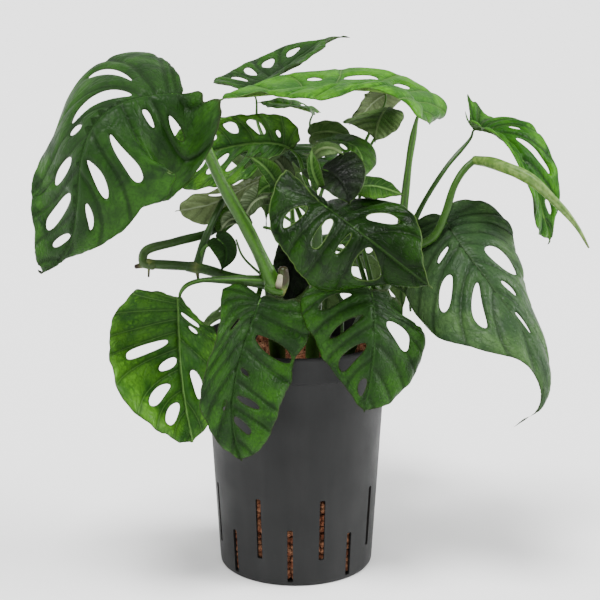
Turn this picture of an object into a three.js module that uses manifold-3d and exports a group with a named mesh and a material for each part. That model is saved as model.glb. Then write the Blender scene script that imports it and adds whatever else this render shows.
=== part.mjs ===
// A monstera adansonii in a slotted hydroculture pot: the culture pot, its clay granules, four leafy
// stems with their leaf stalks and aerial roots, the holed leaf blades and one leaf still rolled up.
// Millimetres, +Z up, origin at the middle of the pot's base, front of the plant towards -Y.
import * as THREE from 'three';
import { mergeVertices } from 'three/addons/utils/BufferGeometryUtils.js';
import Module from 'manifold-3d';

// ---- driving dimensions ----
const GAP = 0.35; // clear gap between touching pieces
const BLADE_THICKNESS = 0.8;
const KEEL_DEPTH = 1.0; // how far the midrib stands out under a blade at its stalk
const VEIN_SWEEP = 2.1; // how strongly the side veins crowd towards the leaf base
const HOLE_SIDES = 7;
const WIDEST_BAND = 0.15; // of a half blade's margin, where it has no hole
const WIDEST_MARGIN = 0.06; // between the margin's points
const LEAST_STATION = 0.045; // between the midrib's points, of its length
const MOST_STATION = 0.14;
const SMALL_LEAF = { length: 60, spread: 1.5 }; // a small blade's points lie this much further apart
const MIDRIB_BOW = 0.01;
const SWAP_PASSES = 30;
const VEIN_KNEE = { along: 0.38, out: 0.58 }; // where a side vein bends
const BEND = { limit: 0.45, step: 2 }; // of the way to the middle of the midrib's bend; step along it
const VEIN_STOPS = [0.4, 0.72]; // points of a band's edge, from midrib to margin
const KEEL_RUN_IN = 8; // the keel is whole from one eighth of the midrib
const LIMB_STEP = 16;
const POT = { height: 190, rimRadius: 75, collar: 22, shoulder: 72, baseRadius: 62.3, wall: 2, sides: 56 };
const BED = { height: 172, holeClearance: 1.2, rings: 6, spokes: 32, lump: 2.2 };
const SLOT = { count: 16, width: 4.4, phase: 18.4, spans: [[21.5, 72], [3.5, 48], [21.5, 72], [3.5, 40]] };

const COLOUR = {
  pot: '#434648',
  clay: '#6b3f2c',
  stem: '#4f8a33',
  dark: '#2f5a2a',
  mid: '#3f7a33',
  bright: '#5fa83c',
  pale: '#8fa677',
  shaded: '#24421f',
};

// ---- the leaves ----
// rib: the midrib's four control points, from the leaf stalk to the tip
// up: the way the upper face looks at the stalk and at the tip
// wide, lobe: half width and back lobe on the left and right hand, seen from the upper face
// fold, bend: the halves' rise at the midrib and their curl from there to the margin, in degrees
// broad, point: where along the rib the blade is broadest, and how drawn out its tip is
// lift: how far the back lobes rise
// left, right: holes along the side veins, [place, half breadth, inner end, outer end, slant]
const LEAVES = {
  left_large: {
    rib: [[-81, -93, 391], [-192, -135, 396], [-121, -140, 295], [-184, -97, 261]],
    up: [[-1, -0.99, 0.5], [-0.24, -1, -0.55]],
    wide: [83, 94], lobe: [16, 4], fold: [-14, -21], bend: [-48, -35],
    broad: [0.31, 0.16], point: [1.36, 0.07], lift: [38, -1], colour: 'dark',
    left: [[0.241, 0.021, 0.21, 0.52, -0.05], [0.386, 0.016, 0.12, 0.28, -0.03],
      [0.622, 0.026, 0.18, 0.64, 0.069], [0.722, 0.018, 0.09, 0.48, 0.049],
      [0.813, 0.014, 0.18, 0.53, 0.034]],
    right: [[0.394, 0.013, 0.24, 0.77, 0.022], [0.5, 0.045, 0.06, 0.34, 0.06],
      [0.6, 0.013, 0.2, 0.34, 0.02], [0.708, 0.04, 0.23, 0.38, 0.03], [0.825, 0.028, 0.13, 0.6, 0.06],
      [0.896, 0.014, 0.06, 0.39, 0.03]],
  },
  top: {
    rib: [[-35, 57, 380.7], [-17, 110, 382.7], [8, 145, 405.7], [39, 156, 416.7]],
    up: [[-0.3, 0, 0.95], [-0.4, 0, 0.9]],
    wide: [38, 53], lobe: [22, 23], fold: [26, 11], bend: [0, 0],
    broad: [0.28, 0.3], point: [0.4, 0.8], lift: [2, -4], colour: 'dark',
    left: [[0.42, 0.025, 0.3, 0.72, 0.02], [0.54, 0.03, 0.35, 0.8, 0.02], [0.67, 0.035, 0.35, 0.7, 0.03],
      [0.8, 0.03, 0.35, 0.7, 0.03]],
    right: [[0.36, 0.025, 0.3, 0.7, 0.02], [0.52, 0.03, 0.3, 0.75, 0.02], [0.68, 0.03, 0.3, 0.7, 0.02]],
  },
  top_bright: {
    rib: [[94, -42, 370], [83, -36, 400], [18, -5, 384], [-56, -21, 380]],
    up: [[0.8, -0.2, 0.5], [0, 0, 1]],
    wide: [54, 64], lobe: [7, 7], fold: [21, 8], bend: [-43, 0],
    broad: [0.43, 0.23], point: [1.2, 0.2], lift: [3, -4], colour: 'bright',
    left: [[0.5, 0.025, 0.3, 0.6, 0], [0.66, 0.025, 0.3, 0.6, 0]],
    right: [[0.42, 0.025, 0.3, 0.6, -0.03], [0.56, 0.055, 0.4, 0.66, -0.05],
      [0.7, 0.02, 0.45, 0.68, -0.02]],
  },
  back_thin: {
    rib: [[14, 64, 362], [0, 68, 366], [-16, 74, 368], [-32, 79, 367]],
    up: [[-0.1, 0.1, 1], [-0.1, -0.3, 1]],
    wide: [40, 27], lobe: [4, 3], fold: [11, 1], bend: [-8, -12],
    broad: [0.24, 0.3], point: [1, 0.9], lift: [-4, -1], colour: 'bright',
    left: [[0.45, 0.03, 0.3, 0.7, 0]],
    right: [[0.5, 0.03, 0.28, 0.7, 0]],
  },
  back_left: {
    rib: [[-5, -26, 343], [-22, -9, 351], [-66, 3, 339], [-111, 9, 320]],
    up: [[-0.3, -0.7, 0.6], [-0.2, -0.9, 0.5]],
    wide: [43, 25], lobe: [3, 3], fold: [12, 23], bend: [15, 21],
    broad: [0.41, 0.52], point: [0.5, 0.5], lift: [11, -5], colour: 'dark',
    left: [[0.44, 0.03, 0.22, 0.6, 0.02], [0.57, 0.035, 0.16, 0.6, 0.03], [0.69, 0.03, 0.14, 0.6, 0.03],
      [0.8, 0.025, 0.2, 0.6, 0.03]],
    right: [[0.29, 0.02, 0.2, 0.42, -0.01], [0.42, 0.045, 0.24, 0.76, -0.04],
      [0.56, 0.034, 0.36, 0.76, -0.04], [0.7, 0.03, 0.3, 0.7, -0.02]],
  },
  left_silver: {
    rib: [[-29, 16, 314], [-51, 11, 305], [-54, -8, 297], [-91, -7, 292]],
    up: [[-0.3, 0.5, 0.8], [0, 0.95, 0.3]],
    wide: [23, 24], lobe: [3, 3], fold: [-22, 3], bend: [0, 0],
    broad: [0.36, 0.29], point: [0, 0], lift: [0, 2], colour: 'pale',
    left: [[0.7, 0.035, 0.3, 0.75, 0.04]],
    right: [],
  },
  centre: {
    rib: [[17, -108, 316], [45, -108, 295], [67, -102, 275], [97, -112, 254]],
    up: [[0.1, -0.1, 1], [-0.3, -1, 0]],
    wide: [47, 54], lobe: [22, 36], fold: [-5, -24], bend: [-22, -50],
    broad: [0.36, 0.28], point: [0.9, 0.8], lift: [5, 14], colour: 'dark',
    left: [[0.65, 0.038, 0.32, 0.7, 0.08]],
    right: [[0.31, 0.028, 0.36, 0.8, 0.08], [0.45, 0.034, 0.12, 0.6, 0.05], [0.58, 0.014, 0.08, 0.4, 0],
      [0.745, 0.055, 0.08, 0.76, 0.06]],
  },
  front_right: {
    rib: [[57, -66, 241], [60, -103, 227], [60, -85, 196], [51, -102, 158]],
    up: [[0.4, -0.6, 0.7], [0, -1, 0.3]],
    wide: [52, 54], lobe: [3, 3], fold: [-19, -10], bend: [-14, -21],
    broad: [0.34, 0.17], point: [0.4, 0.5], lift: [6, 3], colour: 'dark',
    left: [[0.58, 0.06, 0.2, 0.68, 0.06]],
    right: [[0.37, 0.04, 0.28, 0.72, 0.1], [0.56, 0.024, 0.16, 0.72, 0.09], [0.74, 0.04, 0.14, 0.82, 0.08],
      [0.9, 0.03, 0.12, 0.6, 0.03]],
  },
  front_left: {
    rib: [[-89, -66, 235], [-89, -51, 199], [-87, -98, 178], [-78, -86, 128]],
    up: [[-1, -0.83, 0.27], [0.54, -1, 0.02]],
    wide: [38, 55], lobe: [4, 2], fold: [-2, 32], bend: [13, 11],
    broad: [0.5, 0.48], point: [0.42, 0.57], lift: [0, 1], colour: 'mid',
    left: [[0.358, 0.032, 0.08, 0.54, 0.047], [0.444, 0.02, 0.24, 0.44, 0.022],
      [0.747, 0.05, 0.19, 0.46, 0.05]],
    right: [[0.531, 0.03, 0.15, 0.72, -0.02], [0.662, 0.026, 0.08, 0.32, 0.002],
      [0.743, 0.022, 0.25, 0.75, -0.01], [0.838, 0.024, 0.2, 0.76, -0.01]],
  },
  front_middle: {
    rib: [[-26, -71, 237], [-37, -103, 210], [-57, -105, 166], [-41, -99, 119]],
    up: [[0.47, 0.66, 1], [0.12, -1, -0.16]],
    wide: [44, 30], lobe: [4, 3], fold: [13, 1], bend: [8, 1],
    broad: [0.23, 0.28], point: [-0.13, 0.3], lift: [4, -2], colour: 'dark',
    left: [[0.461, 0.042, 0.14, 0.88, -0.05], [0.674, 0.01, 0.1, 0.3, 0],
      [0.773, 0.018, 0.11, 0.59, -0.01], [0.872, 0.02, 0.11, 0.54, 0.01]],
    right: [[0.44, 0.013, 0.24, 0.5, 0.02], [0.796, 0.014, 0.2, 0.42, 0]],
  },
  right_large: {
    rib: [[116, -7, 286], [134, -66, 252], [218, -80, 177], [171, -109, 155]],
    up: [[-0.48, -1, 0.92], [1, -0.46, 0.98]],
    wide: [64, 65], lobe: [8, 8], fold: [-12, 8], bend: [-59, -75],
    broad: [0.19, 0.27], point: [1.02, 1.41], lift: [8, 6], colour: 'mid',
    left: [[0.502, 0.05, 0.23, 0.68, 0.052], [0.629, 0.02, 0.2, 0.4, 0.029]],
    right: [[0.397, 0.012, 0.14, 0.32, 0.022], [0.506, 0.025, 0.31, 0.68, 0.034],
      [0.622, 0.025, 0.15, 0.63, 0.069]],
  },
  right_bright: {
    rib: [[140, 14, 354], [176, -1, 353], [182, -18, 320], [206, 32, 260]],
    up: [[0, 0, 1], [0.7, -0.7, -0.2]],
    wide: [51, 34], lobe: [10, 3], fold: [17, 13], bend: [-30, 10],
    broad: [0.21, 0.39], point: [0.7, 0.9], lift: [14, 5], colour: 'bright',
    left: [[0.42, 0.014, 0.3, 0.48, 0.03], [0.6, 0.04, 0.16, 0.68, 0.2], [0.85, 0.03, 0.25, 0.5, 0.04]],
    right: [[0.4, 0.02, 0.3, 0.7, 0], [0.56, 0.02, 0.3, 0.7, 0]],
  },
  upper_right: {
    rib: [[72, 18, 370], [67, 6, 367], [62, -6, 359], [60, -18, 344]],
    up: [[-0.1, -0.4, 0.9], [0.1, -0.9, 0.4]],
    wide: [17, 36], lobe: [3, 3], fold: [-20, -15], bend: [0, -22],
    broad: [0.33, 0.2], point: [0.3, 1], lift: [0, -4], colour: 'bright',
    left: [],
    right: [[0.5, 0.03, 0.3, 0.7, 0]],
  },
  upper_pale: {
    rib: [[71, 39, 379], [56, 51, 370], [55, 35, 361], [44, 43, 354]],
    up: [[0, 0.6, 0.8], [0, 0.7, 0.7]],
    wide: [20, 21], lobe: [3, 3], fold: [-20, 0], bend: [0, 0],
    broad: [0.3, 0.2], point: [0.6, 0.7], lift: [-1, 1], colour: 'pale',
    left: [],
    right: [],
  },
  upper_dark: {
    rib: [[12, 2, 350], [23, -2, 355], [33, -3, 353], [44, -3, 347]],
    up: [[0, -0.8, 0.6], [0, -0.8, 0.6]],
    wide: [11, 11], lobe: [3, 3], fold: [0, 6], bend: [-12, -12],
    broad: [0.36, 0.32], point: [0.5, 0.5], lift: [0, 0], colour: 'dark',
    left: [],
    right: [],
  },
  curled: {
    rib: [[19, -38, 350], [38, -37, 351], [55, -30, 349], [49, -49, 323]],
    up: [[0.2, -0.2, 1], [0.5, -0.8, 0.4]],
    wide: [29, 22], lobe: [3, 3], fold: [-13, 17], bend: [-18, -11],
    broad: [0.3, 0.29], point: [0.8, 0.4], lift: [-1, 1], colour: 'dark',
    left: [],
    right: [[0.5, 0.04, 0.3, 0.7, 0]],
  },
  inner_dark: {
    rib: [[20, -67, 333], [28, -81, 333], [36, -88, 327], [39, -90, 312]],
    up: [[0, -0.8, 0.6], [0, -1, 0.1]],
    wide: [24, 22], lobe: [5, 6], fold: [0, 34], bend: [-10, 0],
    broad: [0.28, 0.28], point: [0.3, 0.3], lift: [0, 0], colour: 'shaded',
    left: [],
    right: [],
  },
  inner_light: {
    rib: [[47, -61, 319], [58, -61, 322], [68, -61, 317], [80, -64, 313]],
    up: [[-0.1, -0.6, 0.8], [0, -0.8, 0.6]],
    wide: [10, 14], lobe: [3, 3], fold: [-5, 8], bend: [0, 0],
    broad: [0.28, 0.25], point: [0.7, 0.9], lift: [-4, 4], colour: 'mid',
    left: [],
    right: [],
  },
  inner_young: {
    rib: [[-9, -50, 314], [-15, -58, 322], [-22, -62, 322], [-29, -62, 312]],
    up: [[0, -0.6, 0.8], [-0.3, -0.8, 0.4]],
    wide: [12, 13], lobe: [5, 5], fold: [10, 10], bend: [0, 0],
    broad: [0.28, 0.28], point: [1, 1], lift: [0, 0], colour: 'mid',
    left: [],
    right: [],
  },
  inner_curl: {
    rib: [[-21, -46, 309], [-29, -49, 310], [-37, -52, 303], [-39, -50, 289]],
    up: [[-0.4, -0.8, 0.5], [-0.5, -0.9, 0]],
    wide: [9, 10], lobe: [3, 3], fold: [20, 20], bend: [0, 0],
    broad: [0.34, 0.34], point: [0.7, 0.7], lift: [0, 0], colour: 'pale',
    left: [],
    right: [],
  },
  inner_left: {
    rib: [[-44, -14, 290], [-51, -18, 291], [-58, -21, 284], [-60, -20, 272]],
    up: [[-0.2, -0.8, 0.6], [-0.2, -1, 0]],
    wide: [8, 9], lobe: [3, 3], fold: [16, 16], bend: [0, 0],
    broad: [0.34, 0.34], point: [0.8, 0.8], lift: [0, 0], colour: 'mid',
    left: [],
    right: [],
  },
  inner_pale: {
    rib: [[-6, -21, 319], [-9, -20, 326], [-13, -18, 332], [-18, -16, 334]],
    up: [[-0.2, -0.9, 0.3], [-0.2, -0.9, 0.3]],
    wide: [9, 8], lobe: [2, 2], fold: [8, 8], bend: [0, 0],
    broad: [0.45, 0.45], point: [0.3, 0.3], lift: [0, 0], colour: 'pale',
    left: [],
    right: [],
  },
  inner_low: {
    rib: [[2, 22, 262], [-1, 24, 246], [-4, 26, 228], [-8, 24, 206]],
    up: [[0, -1, 0.2], [0, -1, 0]],
    wide: [19, 17], lobe: [4, 4], fold: [8, 8], bend: [-8, -8],
    broad: [0.36, 0.36], point: [0.8, 0.8], lift: [0, 0], colour: 'shaded',
    left: [],
    right: [],
  },
  left_small: {
    rib: [[-60, -45, 277], [-53, -50, 274], [-49, -52, 267], [-57, -50, 252]],
    up: [[0.4, -0.8, 0.4], [0.2, -1, 0.2]],
    wide: [9, 12], lobe: [3, 3], fold: [10, 10], bend: [0, 0],
    broad: [0.28, 0.28], point: [1, 1], lift: [0, 0], colour: 'dark',
    left: [],
    right: [],
  },
  back_middle: {
    rib: [[16, 74, 232], [26, 112, 229], [32, 130, 184], [16, 118, 90]],
    up: [[0, 0.7, 0.7], [0, 1, 0]],
    wide: [48, 50], lobe: [20, 20], fold: [6, 6], bend: [-14, -14],
    broad: [0.28, 0.28], point: [1, 1], lift: [0, 0], colour: 'dark',
    left: [[0.34, 0.03, 0.25, 0.7, 0.02], [0.5, 0.035, 0.25, 0.78, 0.03], [0.66, 0.03, 0.25, 0.7, 0.03]],
    right: [[0.3, 0.03, 0.25, 0.7, 0.02], [0.45, 0.035, 0.25, 0.78, 0.03], [0.6, 0.03, 0.25, 0.75, 0.03]],
  },
  back_low_left: {
    rib: [[-33, 69, 202], [-52, 96, 190], [-66, 110, 150], [-68, 112, 86]],
    up: [[-0.4, 0.6, 0.7], [-0.6, 0.8, 0.1]],
    wide: [36, 40], lobe: [14, 14], fold: [6, 6], bend: [-14, -14],
    broad: [0.28, 0.28], point: [1, 1], lift: [0, 0], colour: 'mid',
    left: [[0.36, 0.03, 0.25, 0.75, 0.02], [0.52, 0.035, 0.25, 0.75, 0.03], [0.68, 0.03, 0.25, 0.7, 0.03]],
    right: [[0.3, 0.03, 0.25, 0.7, 0.02], [0.46, 0.035, 0.25, 0.78, 0.03], [0.62, 0.03, 0.25, 0.7, 0.03]],
  },
  back_low_right: {
    rib: [[54, 80, 252], [74, 116, 258], [92, 150, 236], [96, 160, 170]],
    up: [[0.2, 0.5, 0.85], [0.3, 0.9, 0.2]],
    wide: [46, 42], lobe: [20, 20], fold: [6, 6], bend: [-14, -14],
    broad: [0.28, 0.28], point: [1, 1], lift: [0, 0], colour: 'dark',
    left: [[0.34, 0.03, 0.25, 0.7, 0.02], [0.5, 0.035, 0.25, 0.78, 0.03], [0.66, 0.03, 0.25, 0.7, 0.03]],
    right: [[0.32, 0.03, 0.25, 0.7, 0.02], [0.48, 0.035, 0.25, 0.78, 0.03], [0.63, 0.03, 0.25, 0.7, 0.03]],
  },
  back_high: {
    rib: [[-4, 90, 318], [-14, 138, 336], [-24, 184, 318], [-28, 198, 246]],
    up: [[0, 0.3, 0.95], [-0.2, 0.95, 0.2]],
    wide: [46, 46], lobe: [20, 20], fold: [6, 6], bend: [-14, -14],
    broad: [0.28, 0.28], point: [1, 1], lift: [0, 0], colour: 'dark',
    left: [[0.34, 0.03, 0.25, 0.75, 0.02], [0.5, 0.035, 0.25, 0.75, 0.03], [0.66, 0.03, 0.25, 0.7, 0.03]],
    right: [[0.3, 0.03, 0.25, 0.7, 0.02], [0.45, 0.035, 0.25, 0.78, 0.03], [0.62, 0.03, 0.25, 0.7, 0.03]],
  },
};

// ---- stems ----
// A limb runs smoothly through its points, its radius passing evenly through the given ones.
// A stalk starts on its stem, passes its points and ends under the leaf it is named after;
// reach is how far before and under the leaf's base it turns in.
const STEMS = {
  left: {
    limbs: [
      { points: [[-12, -20, 150], [-15, -40, 195], [-17, -58, 232], [-17, -63, 247]], radii: [6, 6.5] },
      { points: [[-17, -60, 240], [-13, -64, 250], [-8, -66, 257]], radii: [4.6, 3.2] },
      { points: [[-22, -58, 244], [-48, -44, 246], [-76, -40, 253], [-112, -45, 257]], radii: [3.6, 3] },
      { points: [[-109, -45, 256], [-116, -46, 258], [-115, -43, 266], [-92, -34, 272], [-66, -18, 277],
        [-48, 2, 290]], radii: [3, 2.6] },
      { points: [[-112, -45, 257], [-122, -46, 255]], radii: [2.4, 1.4] },
      { points: [[-112, -45, 256], [-112.5, -45, 247]], radii: [0.9, 0.7] },
      { points: [[-76, -40, 252], [-75, -40, 244]], radii: [1.6, 0.9] },
      { points: [[-20, -58, 246], [-40, -52, 264], [-45, -52, 277]], radii: [1.3, 0.8] },
    ],
    stalks: {
      left_large: { points: [[-17, -64, 246], [-33, -67, 282], [-54, -67, 322], [-69, -70, 356]],
        radii: [5.2, 2.6], reach: [4, 14] },
      front_left: { points: [[-20, -60, 247], [-49, -64, 248.5], [-72, -66, 248.5], [-82, -67, 245]],
        radii: [3.8, 3.4, 2], reach: [4, 3] },
      front_middle: { points: [[-17, -56, 236], [-24, -50, 244]], radii: [3, 2], reach: [2, 8] },
      left_silver: { points: [[-50, 0, 290], [-38, 14, 298]], radii: [2.4, 1.6], reach: [2, 6] },
      inner_left: { points: [[-56, -8, 280], [-46, -8, 283]], radii: [2, 1.3], reach: [0, 4] },
      left_small: { points: [[-76, -40, 253], [-70, -38, 268]], radii: [2.4, 1.4], reach: [2, 5] },
    },
  },
  centre: {
    limbs: [
      { points: [[12, -8, 150], [14, -14, 200], [16, -30, 250], [15, -38, 300]], radii: [6, 4.5] },
      { points: [[15, -28, 245], [34, -34, 228], [36, -34, 205], [34, -30, 160]], radii: [1.6, 1.3] },
      { points: [[15, -36, 292], [4, -44, 284], [-12, -50, 284], [-24, -54, 287]], radii: [1.6, 1.2] },
    ],
    stalks: {
      centre: { points: [[15, -36, 290], [16, -62, 300], [15, -88, 306]], radii: [3, 2], reach: [4, 10] },
      back_left: { points: [[15, -38, 300], [7, -34, 322]], radii: [2.4, 1.7], reach: [6, 8] },
      curled: { points: [[15, -38, 300], [14, -36, 320]], radii: [2.6, 1.7], reach: [6, 8] },
      inner_dark: { points: [[15, -38, 296], [21, -50, 318]], radii: [2.2, 1.5], reach: [2, 8] },
      inner_young: { points: [[14, -34, 290], [2, -42, 302]], radii: [2, 1.4], reach: [3, 5] },
      inner_pale: { points: [[15, -32, 284], [4, -26, 304]], radii: [1.8, 1.1], reach: [2, 4] },
      inner_curl: { points: [[15, -34, 280], [-4, -42, 290], [-16, -44, 300]], radii: [1.8, 1.2],
        reach: [1, 4] },
      inner_light: { points: [[15, -34, 280], [32, -46, 304]], radii: [2, 1], reach: [4, 6] },
      top: { points: [[15, -24, 262], [-12, 22, 318], [-31, 48, 354]], radii: [2.6, 1.7], reach: [0, 10] },
      upper_dark: { points: [[15, -30, 254], [14, -10, 300], [12, 4, 330]], radii: [2.2, 1.4],
        reach: [0, 8] },
      back_thin: { points: [[15, -22, 262], [14, 20, 300], [14, 58, 335]], radii: [2.4, 1.6],
        reach: [0, 10] },
    },
  },
  right: {
    limbs: [
      { points: [[34, 6, 150], [52, 0, 200], [74, -10, 240], [82, -18, 272]], radii: [5.5, 4.5] },
      { points: [[70, -8, 236], [88, -18, 226], [90, -20, 214]], radii: [1.4, 1] },
    ],
    stalks: {
      top_bright: { points: [[81, -18, 266], [84, -26, 308], [87, -33, 342]], radii: [4.2, 2.4],
        reach: [0, 10] },
      right_bright: { points: [[84, -16, 264], [98, -9, 295], [118, 1, 325]], radii: [2.8, 1.8],
        reach: [2, 8] },
      right_large: { points: [[78, -12, 256], [98, -8, 272]], radii: [3, 2], reach: [6, 8] },
      front_right: { points: [[66, -8, 230], [58, -34, 240]], radii: [2.8, 1.9], reach: [6, 8] },
      upper_right: { points: [[62, -6, 222], [50, 8, 285], [58, 24, 335]], radii: [2.6, 1.4],
        reach: [0, 9] },
      upper_pale: { points: [[60, -4, 216], [44, 20, 280], [54, 38, 335]], radii: [2.4, 1.6],
        reach: [0, 9] },
    },
  },
  back: {
    limbs: [
      { points: [[-6, 34, 150], [-8, 46, 195], [-6, 52, 235], [-2, 56, 262]], radii: [5.5, 4.2] },
    ],
    stalks: {
      inner_low: { points: [[-4, 52, 250], [2, 40, 268]], radii: [2.4, 1.6], reach: [4, 4] },
      back_middle: { points: [[-7, 48, 208], [6, 60, 220]], radii: [2.8, 1.9], reach: [4, 6] },
      back_low_left: { points: [[-8, 44, 186], [-20, 56, 194]], radii: [2.8, 1.9], reach: [4, 4] },
      back_low_right: { points: [[-6, 50, 222], [22, 60, 240]], radii: [2.8, 1.9], reach: [10, 8] },
      back_high: { points: [[-2, 56, 258], [-4, 72, 292]], radii: [2.8, 1.9], reach: [6, 8] },
    },
  },
};

// The leaf that is still rolled up continues a stalk of the right stem across a flat joint.
const ROLLED_LEAF = {
  joint: [138, -12, 332],
  facing: [11, -1, 5],
  stalk: { points: [[84, -18, 262], [105, -19, 274], [115, -18, 292], [122, -17, 313], [130, -14, 325]],
    radii: [3.4, 2.4] },
  points: [[149, -24, 332], [160, -37, 329.5], [169, -45, 326.5], [179, -53, 321], [191, -58, 310],
    [202, -61, 299], [211, -63, 287.5], [219, -65, 273.5]],
  radii: [4, 4.3, 4.4, 4.5, 4, 3.5, 2.8, 1.6, 0.6],
};

// ---- solids ----
const wasm = await Module();
wasm.setup();

const vectors = (points) => points.map((p) => new THREE.Vector3(...p));
const unit = (p) => new THREE.Vector3(...p).normalize();

function solidFrom(geometry) {
  geometry.deleteAttribute('normal');
  geometry.deleteAttribute('uv');
  const merged = mergeVertices(geometry, 1e-4);
  const vertProperties = new Float32Array(merged.attributes.position.array);
  return new wasm.Manifold(new wasm.Mesh({
    numProp: 3, vertProperties, triVerts: new Uint32Array(merged.index.array),
  }));
}

function geometryFrom(solid) {
  const { vertProperties, triVerts } = solid.getMesh();
  const geometry = new THREE.BufferGeometry();
  geometry.setAttribute('position', new THREE.BufferAttribute(new Float32Array(vertProperties), 3));
  geometry.setIndex([...triVerts]);
  return geometry;
}

function largestBody(solid) {
  return solid.decompose().reduce((best, body) => (body.volume() > best.volume() ? body : best));
}

// A solid turned round the Z axis from [radius, height] pairs that start and end on the axis.
function turned(profile, sides) {
  const points = profile.map(([radius, height]) => new THREE.Vector2(radius, height));
  return new THREE.LatheGeometry(points, sides).rotateX(Math.PI / 2);
}

// A cylinder laid along a curve, with its radius eased through the given ones.
// start and end may turn the first and last ring flush with what the limb meets there.
function limb({ points, radii }, { sides = 6, start = null, end = null } = {}) {
  const curve = new THREE.CatmullRomCurve3(vectors(points), false, 'centripetal');
  const steps = points.length > 2 ? Math.max(3, Math.round(curve.getLength() / LIMB_STEP)) : 1;
  const { normals, binormals } = curve.computeFrenetFrames(steps);
  const geometry = new THREE.CylinderGeometry(1, 1, 1, sides, steps);
  const position = geometry.attributes.position;
  const spoke = new THREE.Vector3();
  for (let k = 0; k < position.count; k += 1) {
    const step = Math.round((position.getY(k) + 0.5) * steps);
    const share = (step / steps) * (radii.length - 1);
    const before = Math.min(radii.length - 2, Math.floor(share));
    const radius = THREE.MathUtils.lerp(radii[before], radii[before + 1], share - before);
    const tangent = curve.getTangentAt(step / steps);
    spoke.set(0, 0, 0).addScaledVector(normals[step], radius * position.getX(k))
      .addScaledVector(binormals[step], -radius * position.getZ(k));
    const facing = [step === 0 && start, step === steps && end].find(Boolean);
    if (facing) spoke.addScaledVector(tangent, -spoke.dot(facing) / tangent.dot(facing));
    position.setXYZ(k, ...curve.getPointAt(step / steps).add(spoke));
  }
  return solidFrom(geometry);
}

// ---- leaf blades ----
const SIDES = ['left', 'right'];

// The margin of one half of the flat leaf: x along the midrib, y out from it, by share of its length.
function marginOf(leaf, side, length) {
  const wide = leaf.wide[side];
  const lobe = leaf.lobe[side];
  const broad = leaf.broad[side] * length;
  const point = leaf.point[side];
  const flat = (x, y) => new THREE.Vector2(x, y);
  const margin = new THREE.CurvePath();
  margin.add(new THREE.CubicBezierCurve(
    flat(0, 0), flat(-0.75 * lobe, 0.02 * wide), flat(-lobe, 0.15 * wide), flat(-lobe, 0.42 * wide)));
  margin.add(new THREE.CubicBezierCurve(
    flat(-lobe, 0.42 * wide), flat(-lobe, 0.85 * wide),
    flat(broad - 0.25 * length, wide), flat(broad, wide)));
  margin.add(new THREE.CubicBezierCurve(
    flat(broad, wide), flat(broad + 0.34 * length, wide),
    flat(length * (1 - 0.2 * point), wide * (0.6 - 0.5 * point)), flat(length, 0)));
  return margin;
}

// Swaps the diagonals of flat triangles until none is needlessly long; edges on the midrib stay.
function evenOut(flat, triangles) {
  const angleAt = (k, a, b) => flat[a].clone().sub(flat[k]).angleTo(flat[b].clone().sub(flat[k]));
  for (let pass = 0; pass < SWAP_PASSES; pass += 1) {
    const owners = new Map();
    triangles.forEach((corners, owner) => corners.forEach((a, k) => {
      owners.set(`${a}_${corners[(k + 1) % 3]}`, [owner, corners[(k + 2) % 3]]);
    }));
    const touched = new Set();
    owners.forEach(([first, c], key) => {
      const [a, b] = key.split('_').map(Number);
      const other = owners.get(`${b}_${a}`);
      if (!other || (flat[a].y === 0 && flat[b].y === 0)) return;
      const [second, d] = other;
      if (touched.has(first) || touched.has(second)) return;
      if (angleAt(c, a, b) + angleAt(d, a, b) < Math.PI + 1e-6) return;
      triangles[first] = [a, d, c];
      triangles[second] = [d, b, c];
      touched.add(first).add(second);
    });
    if (touched.size === 0) break;
  }
}

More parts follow.
